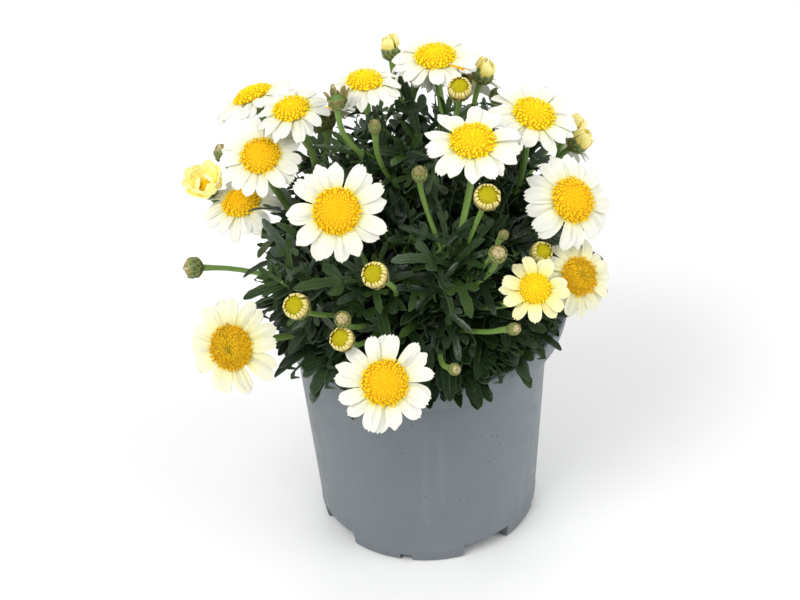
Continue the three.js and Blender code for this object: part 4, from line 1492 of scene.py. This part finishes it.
def grow_petals(garden, bloom, material, slot):
    """The ray florets of a bloom in one ring, or in three when it is young; every other one lies higher."""
    chance = random.Random(PETAL_SEED + bloom.number)
    growth = Growth()
    full_ring = (((garden.sizes.petals, 1, 1),), 1.1)
    rings, fullness = RINGS.get(bloom.kind, full_ring)
    for row, (count, share, inward) in enumerate(rings):
        middle = bloom.hub + 0.55 * (bloom.radius - bloom.hub)
        wide = min(2 * math.pi * middle / max(count, 9) * fullness, 9)
        for k in range(count):
            upper = k % 2
            turn = math.radians(bloom.spin + 17 * row)
            turn += 2 * math.pi * (k + chance.uniform(-0.34, 0.34)) / count
            reach = (bloom.radius - bloom.hub) * share * chance.uniform(0.86, 1.03)
            lift = chance.uniform(-0.8, 0.8) + (0.7 if upper else -0.9)
            cup = chance.uniform(0.9, 1.8) if bloom.kind == "young" else chance.uniform(-1.1, 0.5)
            roll = chance.uniform(-0.16, 0.16)
            width = wide * chance.uniform(0.88, 1.08)
            bend = inward * chance.uniform(0.9, 1.1)
            sway = chance.uniform(-0.1, 0.1)
            pattern = chance.choice(garden.petals)
            points = petal_points(pattern, bloom, turn, reach, lift, width, cup, roll, bend, sway)
            points[:, 2] += 0 if upper else -0.45
            growth.add(bloom.placed(points), pattern.faces, pattern.marks, chance.random(), 0)
    number = f"{bloom.number:02d}"
    growth.piece(f"petals_{number}", [material], [f"bloom_{number}_rays"])


def grow_florets(garden, head, name, node, slot, finishes, radius, height, open_share, size):
    """A domed disc of florets set in spirals: open ones round the rim and buds in the middle.

    The open share is the share of the radius beyond which they are open, and the size is the room for each.
    """
    chance = random.Random(FLORET_SEED + head.number)
    growth = Growth()
    profile = [(radius * 0.93, DISC_FOOT - 0.1), (radius * 0.95, DISC_FOOT + 0.15)]
    profile += [(radius * 0.85, height * 0.26), (radius * 0.66, height * 0.57)]
    profile += [(radius * 0.38, height * 0.83), (radius * 0.04, height * 0.91)]
    growth.add(*turned(head, profile, 20), 0.0, 1)
    count = round(0.85 * (2 * radius / size) ** 2)
    for i in range(count):
        share = ((i + 0.5) / count) ** 0.7
        turn = i * FLORET_TURN + chance.uniform(-0.5, 0.5) / (1 + 0.35 * math.sqrt(i))
        is_open = share > open_share + chance.uniform(-0.1, 0.1)
        pattern = garden.open_floret if is_open else garden.closed_floret
        out = radius * share * 0.93 + chance.uniform(-0.22, 0.22) * size * share
        up = height * (0.93 - 0.85 * share**2.6) - 0.25
        scale = size * mix(0.3, 0.5, share**1.5) * chance.uniform(0.85, 1.15)
        points = pattern.verts * (scale, scale, scale * chance.uniform(0.95, 1.4))
        spin = chance.uniform(0, 72)
        lean = math.atan(2.2 * height / radius * share**1.8) + chance.uniform(-0.15, 0.15)
        tilt = Matrix.Rotation(turn, 3, "Z") @ Matrix.Rotation(lean, 3, "Y") @ Matrix.Rotation(spin, 3, "Z")
        foot = (out * math.cos(turn), out * math.sin(turn), up)
        placed = head.placed(points @ np.array(tilt).T + foot)
        tone = min(1, max(0, mix(0.15, 0.9, share**1.5) + chance.uniform(-0.25, 0.25)))
        growth.add(placed, pattern.faces, pattern.marks, tone, 0)
    growth.piece(name, finishes, [node], 40)


def build_blooms(garden):
    """The ray florets and the discs of all blooms."""
    white = petal_finish("petal_white", (0.86, 0.86, 0.77), (0.78, 0.74, 0.20), (0.85, 0.84, 0.62))
    cream = petal_finish("petal_cream", (0.87, 0.86, 0.67), (0.78, 0.70, 0.18), (0.87, 0.83, 0.46))
    yellow = petal_finish("petal_yellow", (0.90, 0.85, 0.50), (0.78, 0.62, 0.10), (0.90, 0.80, 0.32))
    lemon = petal_finish("petal_lemon", (1.0, 0.95, 0.52), (1.0, 0.72, 0.06), (1.0, 0.88, 0.32), 0.13)
    kinds = {
        "white": (white, "white_petals"),
        "old": (white, "white_petals"),
        "cream": (cream, "cream_petals"),
        "yellow": (yellow, "yellow_petals"),
        "young": (lemon, "yellow_petals"),
    }
    # The third colour of each floret finish is the painted shade at the florets' feet.
    gold = floret_finish("floret_gold", (0.98, 0.62, 0.005), (1.0, 0.75, 0.014), (0.92, 0.50, 0.003))
    spent = floret_finish("floret_spent", (0.55, 0.24, 0.008), (0.85, 0.46, 0.015), (0.38, 0.17, 0.008))
    fresh = floret_finish("floret_yellow", (1.0, 0.74, 0.006), (1.0, 0.86, 0.014), (0.94, 0.64, 0.004))
    fading = floret_finish("floret_olive", (0.32, 0.24, 0.006), (0.95, 0.58, 0.008), (0.46, 0.27, 0.005))
    base = floret_finish("disc_base", (0.92, 0.54, 0.004), (0.92, 0.54, 0.004), (0.56, 0.32, 0.006))
    for bloom in garden.blooms:
        grow_petals(garden, bloom, *kinds[bloom.kind])
        number = f"{bloom.number:02d}"
        # Florets beyond this share of the disc's radius are open.
        ripe = mix(0.54, 0.74, bloom.number * 0.37 % 1)
        open_share = {"young": 2, "yellow": 0.97, "old": 0.3}.get(bloom.kind, ripe)
        top = spent if bloom.kind == "old" else gold
        if bloom.number in FRESH_DISCS:
            top = fresh
        elif bloom.number in FADING_DISCS:
            top = fading
        size = 0.9 if bloom.kind == "yellow" else 1.15
        names = (f"disc_florets_{number}", f"bloom_{number}_disc", "disc_florets")
        grow_florets(garden, bloom, *names, [top, base], bloom.disc, bloom.height, open_share, size)


def build_bud_centres(garden):
    """The flat yellow-green centres of the opening buds."""
    # The third colours are the painted shade at the florets' feet.
    lime = floret_finish("floret_lime", (0.50, 0.44, 0.005), (0.70, 0.58, 0.008), (0.42, 0.38, 0.004))
    base = floret_finish("bud_base", (0.46, 0.41, 0.005), (0.46, 0.41, 0.005), (0.34, 0.32, 0.005))
    for bud in garden.buds:
        if bud.kind == "open":
            number = f"{bud.number:02d}"
            names = (f"bud_florets_{number}", f"bud_{number}_centre", "bud_centre")
            grow_florets(garden, bud, *names, [lime, base], bud.radius * 0.84, 2.1, 2, 0.72)


# Stage


def build_stage(look):
    """A plain pale floor, soft studio light and the camera at the photograph's viewing angle."""
    start_shape()
    bpy.ops.mesh.primitive_plane_add(size=1)
    floor = bpy.context.object
    floor.name = "studio_floor"
    for vertex in floor.data.vertices:
        vertex.co.x *= FLOOR_WIDTH
        vertex.co.y *= FLOOR_WIDTH
        vertex.co.z = -FLOOR_DROP
    made = Finish("studio_floor_paint", Roughness=0.7)
    made.colour(made.ramp(made.noise(3, 2), (0.3, (0.86, 0.86, 0.86)), (0.7, (0.88, 0.88, 0.88))))
    floor.data.materials.append(made.material)
    world = bpy.data.worlds.new("studio_world")
    bpy.context.scene.world = world
    world.use_nodes = True
    background = world.node_tree.nodes["Background"]
    background.inputs["Color"].default_value = (1, 1, 1, 1)
    background.inputs["Strength"].default_value = look.surround
    lamps = (
        ("key_light", (-0.9, -1.0, 1.7), 1.1, look.key_light),
        ("fill_light", (1.3, -0.5, 1.1), 1.0, look.fill_light),
        ("back_light", (0.2, 1.4, 1.5), 1.2, look.back_light),
    )
    for name, place, size, power in lamps:
        start_shape()
        bpy.ops.object.light_add(type="AREA", location=place)
        lamp = bpy.context.object
        lamp.name = name
        lamp.data.size = size
        lamp.data.energy = power
        direction = Vector(LAMP_AIM) - Vector(place)
        lamp.rotation_euler = direction.to_track_quat("-Z", "Y").to_euler()
    start_shape()
    bpy.ops.object.camera_add(location=CAMERA_PLACE)
    camera = bpy.context.object
    camera.name = "photo_camera"
    camera.data.lens = CAMERA_LENS
    camera.data.sensor_width = CAMERA_FILM
    camera.data.clip_end = 50
    back = (Vector(CAMERA_PLACE) - Vector(CAMERA_AIM)).normalized()
    level = Vector((0, 0, 1)).cross(back).normalized()
    side = Matrix.Rotation(math.radians(CAMERA_ROLL), 3, back) @ level
    above = back.cross(side)
    turn = Matrix((side, above, back)).transposed()
    camera.rotation_euler = turn.to_euler()
    bpy.context.scene.camera = camera
    bpy.context.scene.view_settings.view_transform = "Standard"


# Add-on


class DaisySizes(bpy.types.PropertyGroup):
    """Sizes and counts of the plant's finer shapes."""

    petals: bpy.props.IntProperty(
        name="Petals", description="Ray florets of a full bloom", default=17, min=8, max=30
    )
    filling_leaves: bpy.props.IntProperty(
        name="Filling leaves", description="Small leaves that fill each shoot", default=72, min=0, max=120
    )
    rim_leaves: bpy.props.IntProperty(
        name="Rim leaves", description="Low leaves that overhang the rim", default=12, min=0, max=40
    )
    twigs: bpy.props.IntProperty(
        name="Twigs", description="Side twigs of each shoot", default=7, min=0, max=20
    )
    twig_leaves: bpy.props.IntProperty(
        name="Twig leaves", description="Leaves of each side twig", default=10, min=2, max=20
    )
    leaf_thickness: bpy.props.FloatProperty(
        name="Leaf thickness", description="Thickness of a leaf", default=0.0005, unit="LENGTH"
    )
    crumbs: bpy.props.IntProperty(
        name="Soil crumbs", description="Loose crumbs on the soil", default=420, min=0, max=2000
    )


class DaisyLook(bpy.types.PropertyGroup):
    """The studio's light."""

    surround: bpy.props.FloatProperty(
        name="Surround", description="Strength of the even white light", default=0.64
    )
    key_light: bpy.props.FloatProperty(
        name="Key light", description="Lamp at the front left", default=25, unit="POWER"
    )
    fill_light: bpy.props.FloatProperty(
        name="Fill light", description="Lamp at the right", default=9.5, unit="POWER"
    )
    back_light: bpy.props.FloatProperty(
        name="Back light", description="Lamp behind", default=10, unit="POWER"
    )


class DAISY_OT_stage(bpy.types.Operator):
    """Add the floor, the studio light and the camera"""

    bl_idname = "daisy.stage"
    bl_label = "Stage"

    def execute(self, context):
        build_stage(context.scene.daisy_look)
        return {"FINISHED"}


class DAISY_OT_pot(bpy.types.Operator):
    """Build the nursery pot"""

    bl_idname = "daisy.pot"
    bl_label = "Pot"

    def execute(self, context):
        build_pot()
        return {"FINISHED"}


class DAISY_OT_soil(bpy.types.Operator):
    """Build the soil and its crumbs"""

    bl_idname = "daisy.soil"
    bl_label = "Soil"

    def execute(self, context):
        build_soil(context.scene.daisy_sizes)
        return {"FINISHED"}


class DAISY_OT_shoots(bpy.types.Operator):
    """Grow the leafy shoots with their stalks, cups and buds"""

    bl_idname = "daisy.shoots"
    bl_label = "Shoots"

    def execute(self, context):
        build_shoots(Garden(context.scene.daisy_sizes))
        return {"FINISHED"}


class DAISY_OT_blooms(bpy.types.Operator):
    """Grow the petals and the discs of the blooms"""

    bl_idname = "daisy.blooms"
    bl_label = "Blooms"

    def execute(self, context):
        build_blooms(Garden(context.scene.daisy_sizes))
        return {"FINISHED"}


class DAISY_OT_bud_centres(bpy.types.Operator):
    """Grow the centres of the opening buds"""

    bl_idname = "daisy.bud_centres"
    bl_label = "Bud centres"

    def execute(self, context):
        build_bud_centres(Garden(context.scene.daisy_sizes))
        return {"FINISHED"}


class DAISY_PT_panel(bpy.types.Panel):
    """The daisy's sizes, light and steps"""

    bl_idname = "DAISY_PT_panel"
    bl_label = "Daisy"
    bl_space_type = "VIEW_3D"
    bl_region_type = "UI"
    bl_category = "Daisy"

    def draw(self, context):
        for settings in (context.scene.daisy_sizes, context.scene.daisy_look):
            for name in settings.__annotations__:
                self.layout.prop(settings, name)
        for step in STEPS:
            self.layout.operator(step.bl_idname)


STEPS = (
    DAISY_OT_stage, DAISY_OT_pot, DAISY_OT_soil, DAISY_OT_shoots, DAISY_OT_blooms, DAISY_OT_bud_centres,
)
CLASSES = (DaisySizes, DaisyLook, *STEPS, DAISY_PT_panel)


def register():
    """Registers the add-on's classes and settings."""
    for kind in CLASSES:
        bpy.utils.register_class(kind)
    bpy.types.Scene.daisy_sizes = bpy.props.PointerProperty(type=DaisySizes)
    bpy.types.Scene.daisy_look = bpy.props.PointerProperty(type=DaisyLook)


def unregister():
    """Takes the settings and classes away again."""
    del bpy.types.Scene.daisy_look
    del bpy.types.Scene.daisy_sizes
    for kind in reversed(CLASSES):
        bpy.utils.unregister_class(kind)


def main():
    """Builds everything."""
    register()
    bpy.ops.daisy.stage()
    bpy.ops.daisy.pot()
    bpy.ops.daisy.soil()
    bpy.ops.daisy.shoots()
    bpy.ops.daisy.blooms()
    bpy.ops.daisy.bud_centres()


if __name__ == "__main__":
    main()
